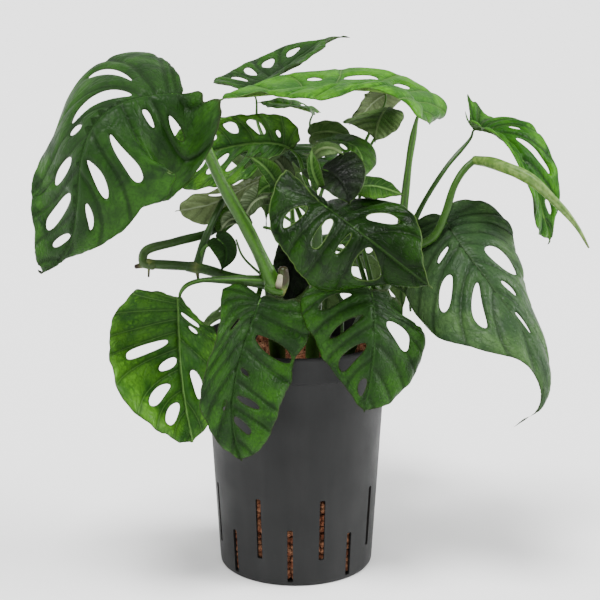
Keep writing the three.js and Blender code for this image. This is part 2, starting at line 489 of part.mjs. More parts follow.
class Blade {
  constructor(leaf) {
    this.leaf = leaf;
    this.rib = new THREE.CubicBezierCurve3(...vectors(leaf.rib));
    this.length = this.rib.getLength();
    this.spread = this.length < SMALL_LEAF.length ? SMALL_LEAF.spread : 1;
    this.margins = SIDES.map((name, side) => marginOf(leaf, side, this.length));
    this.faces = leaf.up.map(unit);
  }

  // The leaf's axes at a distance along the midrib: along it, to its left and out of its upper face.
  axesAt(x) {
    const t = THREE.MathUtils.clamp(x / this.length, 0, 1);
    const along = this.rib.getTangentAt(t);
    const left = this.faces[0].clone().lerp(this.faces[1], t).cross(along).normalize();
    return { at: this.rib.getPointAt(t), along, left, out: along.clone().cross(left) };
  }

  // A distance across the blade, kept short of the middle of the midrib's own bend.
  eased(x, left, across) {
    const step = BEND.step / this.length;
    const t = THREE.MathUtils.clamp(x / this.length, step, 1 - step);
    const turn = this.rib.getTangentAt(t + step).sub(this.rib.getTangentAt(t - step));
    const share = (across * turn.dot(left)) / (2 * BEND.step);
    if (share < BEND.limit) return across;
    const room = 1 - BEND.limit;
    return (across * (BEND.limit + room * Math.tanh((share - BEND.limit) / room))) / share;
  }

  // A point on a side vein: place is its share of the margin, v runs from midrib to margin.
  flatPoint(side, place, v) {
    const root = new THREE.Vector2(this.length * place ** VEIN_SWEEP, 0);
    const end = this.margins[side].getPoint(place);
    const knee = new THREE.Vector2(
      THREE.MathUtils.lerp(root.x, end.x, VEIN_KNEE.along), VEIN_KNEE.out * end.y);
    return new THREE.QuadraticBezierCurve(root, knee, end).getPoint(v);
  }

  // The flat leaf folded at its midrib, curled across and bent along it.
  toSpace(side, { x, y }) {
    const { leaf } = this;
    const axes = this.axesAt(x);
    const back = Math.min(x, 0);
    const fold = THREE.MathUtils.degToRad(leaf.fold[side]);
    const curl = THREE.MathUtils.degToRad(leaf.bend[side] || 0.01) / leaf.wide[side];
    const across = (Math.sin(fold + curl * y) - Math.sin(fold)) / curl;
    const rise = -(Math.cos(fold + curl * y) - Math.cos(fold)) / curl;
    const lift = leaf.lift[side] * (back / leaf.lobe[side]) ** 2;
    return axes.at.addScaledVector(axes.along, back)
      .addScaledVector(axes.left, this.eased(x, axes.left, side === 0 ? across : -across))
      .addScaledVector(axes.out, rise + lift);
  }

  // Where a hole's middle line meets the midrib and the margin, as places along them.
  holeAxis([place, , inner, outer, slant]) {
    const lean = slant / (outer - inner);
    const middle = (inner + outer) / 2;
    return [place - lean * middle, place + lean * (1 - middle)];
  }

  holeRing(side, [place, half, inner, outer, slant]) {
    return Array.from({ length: HOLE_SIDES }, (unused, k) => {
      const angle = (2 * Math.PI * k) / HOLE_SIDES;
      const run = -Math.cos(angle) / 2;
      const v = (inner + outer) / 2 + (outer - inner) * run;
      return this.flatPoint(side, place + slant * run + half * Math.sin(angle), v);
    });
  }

  // Limits of one half's bands, [place at midrib, place at margin]: one between two holes, and more
  // where the blade has none.
  bandLimits(side) {
    const axes = this.leaf[SIDES[side]].map((hole) => this.holeAxis(hole));
    const all = [[0, 0], ...axes, [1, 1]];
    const limits = [[0, 0]];
    for (let i = 1; i < all.length; i += 1) {
      const [a, b] = [all[i - 1], all[i]];
      const beside = i === 1 || i === all.length - 1;
      const cuts = beside ? Math.floor((b[1] - a[1]) / (WIDEST_BAND * this.spread)) : 1;
      for (let k = 1; k <= cuts; k += 1) {
        const limit = [0, 1].map((end) => THREE.MathUtils.lerp(a[end], b[end], (k - 0.5) / cuts));
        limits.push([Math.max(limit[0], limits[limits.length - 1][0]), limit[1]]);
      }
    }
    return [...limits, [1, 1]];
  }

  // The blade's middle surface as points and triangles, filled band by band between side veins.
  sheet() {
    const points = [];
    const flatPoints = [];
    const triangles = [];
    const known = new Map();
    const limits = SIDES.map((name, side) => this.bandLimits(side));

    // Places on the midrib where bands start, shared by both halves.
    const stations = [0, this.length];
    limits.flat().forEach(([place]) => {
      const x = this.length * place ** VEIN_SWEEP;
      if (stations.every((s) => Math.abs(s - x) > LEAST_STATION * this.length)) stations.push(x);
    });
    stations.sort((a, b) => a - b);
    const spaced = stations.flatMap((x, k) => {
      const gap = k === 0 ? 0 : x - stations[k - 1];
      const parts = Math.max(1, Math.ceil(gap / (MOST_STATION * this.length)));
      return Array.from({ length: parts }, (unused, part) => x - (gap * (parts - 1 - part)) / parts);
    });
    const nearest = (place) => {
      const x = this.length * place ** VEIN_SWEEP;
      return stations.reduce((best, s) => (Math.abs(s - x) < Math.abs(best - x) ? s : best));
    };
    const indexOf = (side, flat) => {
      const place = this.toSpace(side, flat);
      const key = place.toArray().map((c) => c.toFixed(3)).join();
      if (!known.has(key)) {
        known.set(key, points.push(place) - 1);
        flatPoints.push(new THREE.Vector2(flat.x, side === 0 ? flat.y : -flat.y));
      }
      return known.get(key);
    };
    // Earcut needs the midrib's points out of line with each other, so they bow into the band.
    const bowed = ({ x, y }) => new THREE.Vector2(x, y || MIDRIB_BOW * x * (1 - x / this.length));

    limits.forEach((sideLimits, side) => {
      for (let i = 1; i < sideLimits.length; i += 1) {
        const [first, last] = [nearest(sideLimits[i - 1][0]), nearest(sideLimits[i][0])];
        const [from, to] = [sideLimits[i - 1][1], sideLimits[i][1]];
        const parts = Math.ceil((to - from) / (WIDEST_MARGIN * this.spread));
        const onLimit = (limit, v) => this.flatPoint(side, THREE.MathUtils.lerp(...limit, v), v);
        const outline = spaced.filter((x) => x >= first && x <= last).map((x) => new THREE.Vector2(x, 0));
        if (to < 1) VEIN_STOPS.forEach((v) => outline.push(onLimit(sideLimits[i], v)));
        outline.push(this.flatPoint(side, to, 1));
        for (let part = parts - 1; part > 0; part -= 1) {
          outline.push(this.flatPoint(side, THREE.MathUtils.lerp(from, to, part / parts), 1));
        }
        if (from > 0) {
          outline.push(this.flatPoint(side, from, 1));
          VEIN_STOPS.toReversed().forEach((v) => outline.push(onLimit(sideLimits[i - 1], v)));
        }
        const contour = outline.filter((p, k) => p.distanceTo(outline[(k + 1) % outline.length]) > 1e-3);
        const rings = this.leaf[SIDES[side]].filter((hole) => {
          const end = this.holeAxis(hole)[1];
          return end > from && end < to;
        }).map((hole) => this.holeRing(side, hole));
        const flat = [contour, ...rings].flat();
        THREE.ShapeUtils.triangulateShape(contour.map(bowed), rings).forEach((corners) => {
          const triangle = corners.map((k) => indexOf(side, flat[k]));
          triangles.push(side === 0 ? triangle : triangle.reverse());
        });
      }
    });
    evenOut(flatPoints, triangles);
    return { points, triangles };
  }

  // How far the keel under the midrib stands out at a place on the blade.
  keelAt(place) {
    const share = Array.from({ length: 101 }, (unused, k) => k / 100)
      .find((t) => this.rib.getPointAt(t).distanceTo(place) < this.length / 150);
    return share === undefined ? 0 : KEEL_DEPTH * (1 - share) * Math.min(1, share * KEEL_RUN_IN);
  }

  // The sheet thickened both ways, with the keel; grow adds to its thickness.
  solid(grow = 0) {
    const { points, triangles } = this.sheet();
    const half = BLADE_THICKNESS / 2 + grow;
    const sheet = new THREE.BufferGeometry().setFromPoints(points);
    sheet.setIndex(triangles.flat());
    sheet.computeVertexNormals();
    const { normal } = sheet.attributes;
    const normals = points.map((p, k) => new THREE.Vector3().fromBufferAttribute(normal, k));
    const top = points.map((p, k) => p.clone().addScaledVector(normals[k], half));
    const under = points.map((p, k) => p.clone().addScaledVector(normals[k], -half - this.keelAt(p)));
    const count = points.length;
    const edges = new Set(triangles.flatMap(([a, b, c]) => [`${a}_${b}`, `${b}_${c}`, `${c}_${a}`]));
    const faces = [];
    triangles.forEach(([a, b, c]) => {
      faces.push(a, b, c, a + count, c + count, b + count);
      [[a, b], [b, c], [c, a]].forEach(([from, to]) => {
        if (!edges.has(`${to}_${from}`)) faces.push(from, from + count, to + count, from, to + count, to);
      });
    });
    const blade = new THREE.BufferGeometry().setFromPoints([...top, ...under]);
    blade.setIndex(faces);
    return solidFrom(blade);
  }

  // The last two points of the stalk: turning in under the leaf's base, and clear of its underside.
  stalkEnd([before, under]) {
    const { at, along, out } = this.axesAt(0);
    const turn = at.clone().addScaledVector(along, -before).addScaledVector(out, -under);
    const end = at.clone().addScaledVector(out, -BLADE_THICKNESS / 2 - 2 * GAP);
    return { points: [turn.toArray(), end.toArray()], facing: out };
  }
}
const blades = Object.fromEntries(Object.entries(LEAVES).map(([name, leaf]) => [name, new Blade(leaf)]));

// ---- stems ----
function stemLimbs(stem) {
  const stalks = Object.entries(stem.stalks).map(([name, stalk]) => {
    const { points, facing } = blades[name].stalkEnd(stalk.reach);
    return limb({ points: [...stalk.points, ...points], radii: stalk.radii }, { end: facing });
  });
  return [...stem.limbs.map((one) => limb(one)), ...stalks];
}

function makeStem(name) {
  const limbs = stemLimbs(STEMS[name]);
  if (name === 'right') {
    const { stalk, joint, facing } = ROLLED_LEAF;
    limbs.push(limb({ points: [...stalk.points, joint], radii: stalk.radii }, { end: unit(facing) }));
  }
  const whole = limbs.reduce((stem, one) => stem.add(one));
  const cutters = Object.values(blades).flatMap((blade) => [blade.solid(GAP), blade.solid(GAP / 3)]);
  return cutters.reduce((stem, cutter) => stem.subtract(cutter), whole);
}

function makeRolledLeaf() {
  const { joint, facing, points, radii } = ROLLED_LEAF;
  const start = new THREE.Vector3(...joint).addScaledVector(unit(facing), GAP);
  return limb({ points: [start.toArray(), ...points], radii }, { sides: 10, start: unit(facing) });
}

// ---- pot and clay granules ----
const stepHeight = POT.height - POT.collar;
const radiusAt = (z) => THREE.MathUtils.mapLinear(z, 0, stepHeight, POT.baseRadius, POT.shoulder);

function makePot() {
  const { height, rimRadius, shoulder, wall, sides } = POT;
  const step = stepHeight;
  const lip = wall / 2;
  const body = solidFrom(turned([
    [0, 0], [radiusAt(0) - 2, 0], [radiusAt(0), 2], [shoulder, step], [rimRadius - 0.6, step + 1.5],
    [rimRadius, height - lip], [rimRadius - 0.4, height], [rimRadius - wall, height],
    [rimRadius - wall - 0.3, step + 3], [shoulder - wall, step], [radiusAt(wall) - wall, wall], [0, wall],
  ], sides));
  const slots = Array.from({ length: SLOT.count }, (unused, k) => {
    const [bottom, top] = SLOT.spans[k % SLOT.spans.length];
    const cutter = new THREE.BoxGeometry(SLOT.width, POT.shoulder, top - bottom);
    cutter.translate(0, -radiusAt(0), (bottom + top) / 2);
    const turn = SLOT.phase - (360 / SLOT.count) * k;
    return solidFrom(cutter.rotateZ(THREE.MathUtils.degToRad(turn)));
  });
  return slots.reduce((pot, slot) => pot.subtract(slot), body);
}

// Room for a limb that stands in the granules: the limb grown a little and started lower.
function boreFor({ points, radii }) {
  const [foot, next] = vectors(points);
  const below = foot.clone().addScaledVector(next.clone().sub(foot).normalize(), -BED.holeClearance);
  return limb({
    points: [below.toArray(), ...points.slice(1)], radii: radii.map((r) => r + BED.holeClearance),
  });
}

function makeGranules() {
  const { height, rings, spokes, lump } = BED;
  const inside = (z) => radiusAt(z) - POT.wall - GAP;
  const floor = POT.wall + GAP;
  const surface = Array.from({ length: rings }, (unused, k) => [inside(height) * (1 - k / rings), height]);
  const geometry = turned([[0, floor], [inside(floor), floor], ...surface, [0, height]], spokes);
  const position = geometry.attributes.position;
  for (let k = 0; k < position.count; k += 1) {
    const [x, y, z] = [position.getX(k), position.getY(k), position.getZ(k)];
    if (z > height - 1) position.setZ(k, height + lump * Math.sin(x / 5.3 + 1) * Math.cos(y / 4.7));
  }
  const rooted = Object.values(STEMS).flatMap((stem) => stem.limbs)
    .filter(({ points }) => points.some((p) => p[2] < height));
  return rooted.reduce((bed, one) => bed.subtract(boreFor(one)), solidFrom(geometry));
}

// ---- the plant ----
const plant = new THREE.Group();

function addPiece(name, solid, colour, roughness) {
  const material = new THREE.MeshStandardMaterial({ color: colour, roughness, metalness: 0 });
  const mesh = new THREE.Mesh(geometryFrom(solid), material);
  mesh.name = name;
  plant.add(mesh);
}

addPiece('pot', makePot(), COLOUR.pot, 0.6);
addPiece('clay_granules', makeGranules(), COLOUR.clay, 0.95);
Object.keys(STEMS).forEach((name) => {
  addPiece(`stem_${name}`, largestBody(makeStem(name)), COLOUR.stem, 0.5);
});
Object.entries(blades).forEach(([name, blade]) => {
  addPiece(`leaf_${name}`, blade.solid(), COLOUR[blade.leaf.colour], 0.4);
});
addPiece('leaf_rolled', makeRolledLeaf(), COLOUR.pale, 0.45);

export default plant;
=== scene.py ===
"""A monstera adansonii in a slotted culture pot: leaf blades, stems, clay granules and pot.

Every size is in millimetres in the plant's own frame, with +Z up, the origin under the middle of the
pot and the front of the plant towards -Y. Meshes are scaled to metres when they are made.
"""
from __future__ import annotations

import logging
import math
from collections.abc import Sequence
from dataclasses import dataclass, field
from enum import Enum

import bpy
import numpy as np
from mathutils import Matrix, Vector
from mathutils.geometry import delaunay_2d_cdt
from mathutils.kdtree import KDTree


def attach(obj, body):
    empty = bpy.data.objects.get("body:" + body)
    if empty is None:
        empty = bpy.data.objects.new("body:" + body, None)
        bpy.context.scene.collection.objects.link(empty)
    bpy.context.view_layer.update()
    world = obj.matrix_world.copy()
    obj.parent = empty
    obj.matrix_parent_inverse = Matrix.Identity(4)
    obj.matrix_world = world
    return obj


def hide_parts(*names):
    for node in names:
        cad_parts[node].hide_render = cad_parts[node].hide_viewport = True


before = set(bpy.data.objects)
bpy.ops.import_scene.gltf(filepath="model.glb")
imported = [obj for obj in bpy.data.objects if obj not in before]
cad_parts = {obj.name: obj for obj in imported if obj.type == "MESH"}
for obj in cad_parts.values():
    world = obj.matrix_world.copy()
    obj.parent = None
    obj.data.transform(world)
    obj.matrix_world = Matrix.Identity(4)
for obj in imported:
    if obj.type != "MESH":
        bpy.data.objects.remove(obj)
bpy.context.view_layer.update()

log = logging.getLogger("monstera")

Array = np.ndarray
Point = tuple[float, float, float]
Pair = tuple[float, float]
Hole = tuple[float, ...]
Colour = tuple[float, float, float]

MM = 0.001
DIM = 0.6  # how far colours are dimmed for the studio's lamps

LEAF_THICKNESS = 0.55
LEAF_STEP = 1.7  # spacing of a blade's mesh points
LEAST_STEP = 0.62  # and the least distance between two of them, of that spacing
HOLE_POINTS = (12, 40)  # fewest and most points round a hole
BEND_LIMIT = 0.45  # of the way to the middle of the midrib's bend, where a blade starts to crowd
DRIP_TIP = (0.055, 0.7)  # length of the drawn-out tip, of the leaf's, and its half width
TIP_DROOP = 0.07  # how strongly that tip curves down
MARGIN_WAVES = (62, 31, 17, 9.5)  # lengths of the waves along a margin
MARGIN_CALM = 18  # over what length those waves fade towards the ends of the margin
FULL_LENGTH = (110, 90)  # how long a leaf is whose margin is fully waved, and whose skin fully swells

VEIN_SWEEP = 2.1  # how strongly the side veins crowd towards the leaf base
VEIN_SPACING = 0.085  # share of the margin between side veins, where there are no holes
VEIN_APART = 0.02  # least share of the margin between the veins of neighbouring holes
VEIN_LAST = (0.96, 0.98)  # how near the tip they may start at the midrib and end at the margin
VEIN_KNEE = (0.38, 0.58)  # where a side vein bends, along and out
SHORT_HOLE = 0.13  # a hole that takes up less of its vein than this leads no vein of its own
FAR_OFF = (20.0, 50.0)  # distances from a side vein and from an edge beyond which neither is felt
NETWORK = (4, 9)  # meshes of the finest veins: from one side vein to the next, and outward
OTHER_HALF = 50.0  # how far that network is shifted for the right half, so that it differs

# Small forms of a blade's skin, each a depth or height and a width.
RIB_TROUGH, VEIN_GROOVE = (0.8, 1.8), (0.3, 0.9)
RIB_KEEL, VEIN_KEEL = (1.1, 1.5), (0.25, 0.8)
SWELL_WIDTH = 2.6  # how far from a side vein the skin is fully swollen

CHANNEL_WAY = np.array((0.1, -0.6, 0.8))  # the way the channel along a leaf stalk looks
CHANNEL_WIDTH = 0.42  # round the stalk, in radians
CHANNEL_RIDGES = (0.62, 0.2)  # how far its two ridges stand apart from its middle, and their width
STALK_END = (7.0, 0.7)  # how far a stalk runs on under its blade, and how deep under it
ROUND_END = ((80, 50, 22), 0.7)  # rings that round off a limb, in degrees, and how far they stand out


def srgb(code: str) -> Colour:
    """Turns a #rrggbb colour into linear red, green and blue, dimmed to suit the bright lamps."""
    parts = [int(code[k:k + 2], 16) / 255 for k in (1, 3, 5)]
    return tuple(DIM * (c / 12.92 if c <= 0.04045 else ((c + 0.055) / 1.055) ** 2.4) for c in parts)


def unit(vectors: Array) -> Array:
    """Vectors scaled to length one, along the last axis."""
    return vectors / np.maximum(np.linalg.norm(vectors, axis=-1, keepdims=True), 1e-9)


def shade(colour: Colour, strength: float) -> Colour:
    """A colour made darker, or brighter where the strength is over 1."""
    return tuple(min(strength * part, 1) for part in colour)


def blend(a: Array, b: Array, share: Array | float) -> Array:
    """The mix of a and b, share 0 giving a and share 1 giving b."""
    return a * (1 - share) + b * share


def bezier(controls: Array, t: Array) -> Array:
    """Points of a cubic Bezier curve.

    Args:
        controls: its four control points.
        t: where along it, from 0 to 1.

    Returns:
        One point for each t.
    """
    a, b, c, d = controls
    t = t[:, None]
    return (1 - t) ** 3 * a + 3 * (1 - t) ** 2 * t * b + 3 * (1 - t) * t ** 2 * c + t ** 3 * d


def lengths(points: Array) -> Array:
    """Running length along a chain of points, starting at 0."""
    return np.r_[0.0, np.cumsum(np.linalg.norm(np.diff(points, axis=0), axis=1))]


def read_off(places: Array, run: Array, rows: Array) -> Array:
    """Rows of a table, read off at places along its running length."""
    return np.stack([np.interp(places, run, column) for column in rows.T], -1)


def along(points: Array, distances: Array) -> Array:
    """Points of a chain at the given distances along it."""
    return read_off(distances, lengths(points), points)


def bell(distance: Array, width: float) -> Array:
    """A smooth rise to 1 at distance 0, which is all but gone two widths away."""
    return np.exp(-(distance / width) ** 2)


def circle(count: int) -> Array:
    """Evenly spaced angles round a whole turn."""
    return np.linspace(0, 2 * math.pi, count, endpoint=False)


def on_side(side: int, places: Array) -> Array:
    """Flat places of a leaf's left half, mirrored at the midrib for the right half."""
    return places * (1, 1 if side == 0 else -1)


def chain_distance(points: Array, chain: Array) -> Array:
    """Distance of flat points from a flat chain.

    Args:
        points: the points.
        chain: the points that the chain joins.

    Returns:
        One distance for each point.
    """
    start, leg = chain[:-1], np.diff(chain, axis=0)
    gap = points[:, None] - start[None]
    size = np.maximum((leg ** 2).sum(-1), 1e-12)
    share = np.clip((gap * leg[None]).sum(-1) / size, 0, 1)
    return np.sqrt(((gap - share[..., None] * leg[None]) ** 2).sum(-1).min(1))


def inside(points: Array, loop: Array) -> Array:
    """Whether flat points lie inside a closed flat loop.

    Args:
        points: the points.
        loop: the loop's corners.

    Returns:
        True or false for each point.
    """
    x, y = points[:, :1], points[:, 1:]
    ax, ay = loop.T
    bx, by = np.roll(loop, -1, axis=0).T
    straddles = (ay > y) != (by > y)
    rise = np.where(by == ay, 1e-12, by - ay)
    crossings = straddles & (x < (bx - ax) * (y - ay) / rise + ax)
    return crossings.sum(1) % 2 == 1


def sheet_normals(points: Array, triangles: Array) -> Array:
    """Unit normals at the points of a sheet.

    Args:
        points: the sheet's points.
        triangles: the corners of its triangles.

    Returns:
        One normal for each point.
    """
    a, b, c = (points[triangles[:, k]] for k in range(3))
    faces = np.cross(b - a, c - a)
    total = np.zeros_like(points)
    for k in range(3):
        np.add.at(total, triangles[:, k], faces)
    return unit(total)


def round_faces(rings: int, sides: int, pointed: bool = False) -> list[tuple[int, ...]]:
    """Faces of a closed round form whose points come ring by ring.

    Args:
        rings: how many rings it has.
        sides: how many points each ring has.
        pointed: whether each end runs to a middle point, the two of them after all rings, and isn't flat.

    Returns:
        The corners of each face: the bands between the rings, then the first end, then the last.
    """
    last, middle = (rings - 1) * sides, rings * sides
    after = [(k + 1) % sides for k in range(sides)]
    bands = [(row + k, row + after[k], row + sides + after[k], row + sides + k)
             for row in range(0, last, sides) for k in range(sides)]
    if not pointed:
        return [*bands, tuple(reversed(range(sides))), tuple(range(last, middle))]
    first_end = [(middle, after[k], k) for k in range(sides)]
    last_end = [(middle + 1, last + k, last + after[k]) for k in range(sides)]
    return [*bands, *first_end, *last_end]


# ---- finishes ----
class Nodes:
    """A material's node tree, built by short calls."""

    def __init__(self, name: str) -> None:
        """Starts a material that has only its shader.

        Args:
            name: the material's name.
        """
        self.material = bpy.data.materials.new(name)
        self.material.use_nodes = True
        self.tree = self.material.node_tree
        self.shader = self.tree.nodes["Principled BSDF"]
        self.place = self.tree.nodes.new("ShaderNodeTexCoord").outputs["Object"]

    def node(self, kind: str, **settings: object) -> bpy.types.Node:
        """Adds a node and sets its own properties.

        Args:
            kind: the node's type.
            settings: its properties, by name.

        Returns:
            The node.
        """
        node = self.tree.nodes.new(kind)
        for name, value in settings.items():
            setattr(node, name, value)
        return node

    def feed(self, socket: bpy.types.NodeSocket, value: object) -> None:
        """Links an output to a socket, or sets the socket to a value.

        Args:
            socket: the socket to feed.
            value: an output, a number or a colour.
        """
        if isinstance(value, bpy.types.NodeSocket):
            self.tree.links.new(value, socket)
        elif isinstance(value, tuple) and len(value) == 3 and socket.type == "RGBA":
            socket.default_value = (*value, 1.0)
        else:
            socket.default_value = value

    def attribute(self, name: str, output: str = "Fac") -> bpy.types.NodeSocket:
        """A value stored on the mesh's points."""
        return self.node("ShaderNodeAttribute", attribute_name=name).outputs[output]

    def noise(self, scale: float, detail: float = 3, place: object = None) -> bpy.types.NodeSocket:
        """Soft noise.

        Args:
            scale: how fine it is.
            detail: how many finer layers it has.
            place: where it is read, in the object's own frame unless given.

        Returns:
            The node's output.
        """
        node = self.node("ShaderNodeTexNoise")
        self.feed(node.inputs["Vector"], place or self.place)
        self.feed(node.inputs["Scale"], scale)
        self.feed(node.inputs["Detail"], detail)
        return node.outputs["Fac"]

    def cells(self, scale: float, place: object = None) -> bpy.types.NodeSocket:
        """Distance from the borders of a network of cells.

        Args:
            scale: how fine it is.
            place: where it is read, in the object's own frame unless given.

        Returns:
            The node's output.
        """
        node = self.node("ShaderNodeTexVoronoi", feature="DISTANCE_TO_EDGE")
        self.feed(node.inputs["Vector"], place or self.place)
        self.feed(node.inputs["Scale"], scale)
        return node.outputs["Distance"]

    def ramp(self, value: object, low: float, high: float,
             start: float = 0, end: float = 1) -> bpy.types.NodeSocket:
        """A smooth step.

        Args:
            value: what it follows.
            low, high: the values between which it changes.
            start, end: what it gives at or below low, and at or above high.

        Returns:
            The node's output.
        """
        node = self.node("ShaderNodeMapRange", interpolation_type="SMOOTHSTEP")
        for name, number in zip(("Value", "From Min", "From Max", "To Min", "To Max"),
                                (value, low, high, start, end)):
            self.feed(node.inputs[name], number)
        return node.outputs["Result"]

    def mix(self, share: object, a: object, b: object) -> bpy.types.NodeSocket:
        """A colour between two.

        Args:
            share: how much of the second.
            a, b: the two colours.

        Returns:
            The node's output.
        """
        node = self.node("ShaderNodeMix", data_type="RGBA")
        self.feed(node.inputs[0], share)
        self.feed(node.inputs[6], a)
        self.feed(node.inputs[7], b)
        return node.outputs[2]

    def maths(self, operation: str, a: object, b: object) -> bpy.types.NodeSocket:
        """One step of arithmetic.

        Args:
            operation: what is done.
            a, b: the two values.

        Returns:
            The node's output.
        """
        node = self.node("ShaderNodeMath", operation=operation)
        self.feed(node.inputs[0], a)
        self.feed(node.inputs[1], b)
        return node.outputs[0]

    def finish(self, colour: object, roughness: object, bump: object = None, depth: float = 0.0,
               **constants: object) -> bpy.types.Material:
        """Joins the last values to the shader.

        Args:
            colour: the base colour, a value or an output.
            roughness: the roughness, a value or an output.
            bump: the height that the surface's fine relief follows, if any.
            depth: the relief's depth, in metres.
            constants: values set straight on the shader's sockets, by name.

        Returns:
            The finished material.
        """
        self.feed(self.shader.inputs["Base Color"], colour)
        self.feed(self.shader.inputs["Roughness"], roughness)
        if bump is not None:
            node = self.node("ShaderNodeBump")
            self.feed(node.inputs["Height"], bump)
            self.feed(node.inputs["Distance"], depth)
            self.feed(self.shader.inputs["Normal"], node.outputs["Normal"])
        for name, value in constants.items():
            self.feed(self.shader.inputs[name.replace("_", " ")], value)
        return self.material


@dataclass(frozen=True)
class LeafFinish:
    """The colours and gloss of a leaf.

    deep, light: the upper face along its midrib, and towards its margin.
    rib, under, edge: the midrib, the underside and the thin margin.
    gloss, shine: the upper face's roughness, and how strongly it mirrors.
    mottle: how much the spots between the finest veins stand out.
    groove_shade: how dark the painted shade in the hollows along the side veins is.
    lines: how pale the side veins themselves are.
    """

    deep: Colour
    light: Colour
    rib: Colour
    under: Colour
    edge: Colour
    gloss: float = 0.36
    shine: float = 0.1
    mottle: float = 0.5
    groove_shade: float = 0.55
    lines: float = 0.25

    def face(self, name: str, upper: bool) -> bpy.types.Material:
        """The material of the upper face or of the underside.

        Args:
            name: what the leaf is called.
            upper: whether this is the upper face.

        Returns:
            The material.
        """
        nodes = Nodes(f"{name}_{'upper' if upper else 'under'}")
        flat = nodes.attribute("leaf_place", "Vector")
        network = nodes.cells(1.0, nodes.attribute("veinwise", "Vector"))
        vein, outward = nodes.attribute("vein_gap"), nodes.attribute("outward")
        low = self.deep if upper else shade(self.under, 0.75)
        high = self.light if upper else self.under
        patches = nodes.ramp(nodes.noise(0.045, 2, flat), 0.3, 0.72)
        spread = nodes.maths("MULTIPLY", patches, nodes.ramp(outward, 0.1, 0.95, 0.35, 1.5))
        colour = nodes.mix(spread, low, high)
        spots = nodes.maths("MULTIPLY", nodes.ramp(network, 0.05, 0.34, 0, self.mottle),
                            nodes.maths("MULTIPLY", nodes.ramp(outward, 0.2, 0.9, 0.25, 1),
                                        nodes.ramp(nodes.noise(0.11, 2, flat), 0.36, 0.62)))
        colour = nodes.mix(spots, colour, shade(high, 1.5))
        fine = nodes.ramp(nodes.noise(0.5, 4, flat), 0.4, 0.7, 0, 0.35)
        colour = nodes.mix(fine, colour, shade(low, 0.55))
        # Painted shade: the colour darkens in the hollows along the side veins, less on the underside.
        hollow = nodes.ramp(vein, 0.4, 2.6, self.groove_shade * (1 if upper else 0.6), 0)
        colour = nodes.mix(hollow, colour, shade(low, 0.45))
        colour = nodes.mix(nodes.ramp(vein, 0.15, 0.55, self.lines, 0), colour, self.rib)
        middle = nodes.ramp(nodes.attribute("rib_gap"), 0.5, 1.3, 0.85, 0)
        colour = nodes.mix(middle, colour, self.rib)
        margin = nodes.ramp(nodes.attribute("edge_gap"), 0.1, 0.9, 0.85, 0)
        colour = nodes.mix(margin, colour, self.edge)
        rough = nodes.ramp(nodes.noise(0.12, 3, flat), 0.3, 0.7, self.gloss, self.gloss + 0.14)
        height = nodes.maths("ADD", nodes.ramp(network, 0.0, 0.2), nodes.noise(0.9, 3, flat))
        return nodes.finish(colour, rough if upper else 0.6, height, 0.0002,
                            Specular_IOR_Level=self.shine if upper else 0.05)

    def rim(self, name: str) -> bpy.types.Material:
        """The material of the leaf's thin margin, with pale patches of painted highlight.

        Args:
            name: what the leaf is called.

        Returns:
            The material.
        """
        nodes = Nodes(f"{name}_margin")
        # Painted highlight: pale patches where the margin would catch the light.
        pale = nodes.ramp(nodes.noise(45), 0.42, 0.62, 0, 0.8)
        return nodes.finish(nodes.mix(pale, self.edge, self.rib), 0.5, Specular_IOR_Level=0.3)


class Tone(Enum):
    """The kinds of leaf on the plant, by colour."""

    DARK = LeafFinish(
        deep=srgb("#1b3912"), light=srgb("#305e15"), rib=srgb("#264a17"), under=srgb("#56743f"),
        edge=srgb("#2f3c19"))
    DEEP = LeafFinish(
        deep=srgb("#0c2006"), light=srgb("#1f4309"), rib=srgb("#2c4a1c"), under=srgb("#4a6638"),
        edge=srgb("#5d7a3c"), gloss=0.27, shine=0.08, lines=0.3)
    GREYISH = LeafFinish(
        deep=srgb("#2f4b2b"), light=srgb("#4a6b3a"), rib=srgb("#36502c"), under=srgb("#6b8458"),
        edge=srgb("#2f3f22"), gloss=0.34, mottle=0.6)
    MID = LeafFinish(
        deep=srgb("#275419"), light=srgb("#4f8520"), rib=srgb("#76a552"), under=srgb("#66874f"),
        edge=srgb("#34481c"), mottle=0.9)
    BRIGHT = LeafFinish(
        deep=srgb("#2b6312"), light=srgb("#4f9218"), rib=srgb("#8dbb5c"), under=srgb("#648e3d"),
        edge=srgb("#3f5f22"), gloss=0.33, groove_shade=0.6, mottle=0.7, lines=0.4)
    FRESH = LeafFinish(
        deep=srgb("#1c4d08"), light=srgb("#43860b"), rib=srgb("#5f8f35"), under=srgb("#4c7a2b"),
        edge=srgb("#3a5a22"), gloss=0.36, groove_shade=0.9, mottle=0.5, lines=0.3, shine=0.06)
    SILVER = LeafFinish(
        deep=srgb("#587343"), light=srgb("#a3b68c"), rib=srgb("#adbf93"), under=srgb("#95ad72"),
        edge=srgb("#3f5228"), gloss=0.45, mottle=0.6, groove_shade=0.9, lines=0.15)
    # Painted shade: near-black colours for leaves deep in the plant's shade, with a paler margin as a
    # painted highlight on the lit rim.
    SHADED = LeafFinish(
        deep=srgb("#0d140a"), light=srgb("#1b2f10"), rib=srgb("#16220f"), under=srgb("#35512a"),
        edge=srgb("#4b6b31"), gloss=0.3, mottle=0.2, groove_shade=0.5, lines=0.0)
    STRIPED = LeafFinish(
        deep=srgb("#558239"), light=srgb("#98b675"), rib=srgb("#9ab577"), under=srgb("#93ad70"),
        edge=srgb("#3a5a22"), mottle=0.7, groove_shade=0.6, lines=0.15)


SLOTS = {
    Tone.DARK: "leaf_dark", Tone.DEEP: "leaf_dark", Tone.SHADED: "leaf_dark",
    Tone.GREYISH: "leaf_mid", Tone.MID: "leaf_mid",
    Tone.BRIGHT: "leaf_bright", Tone.FRESH: "leaf_bright",
    Tone.SILVER: "leaf_silver", Tone.STRIPED: "leaf_silver",
}


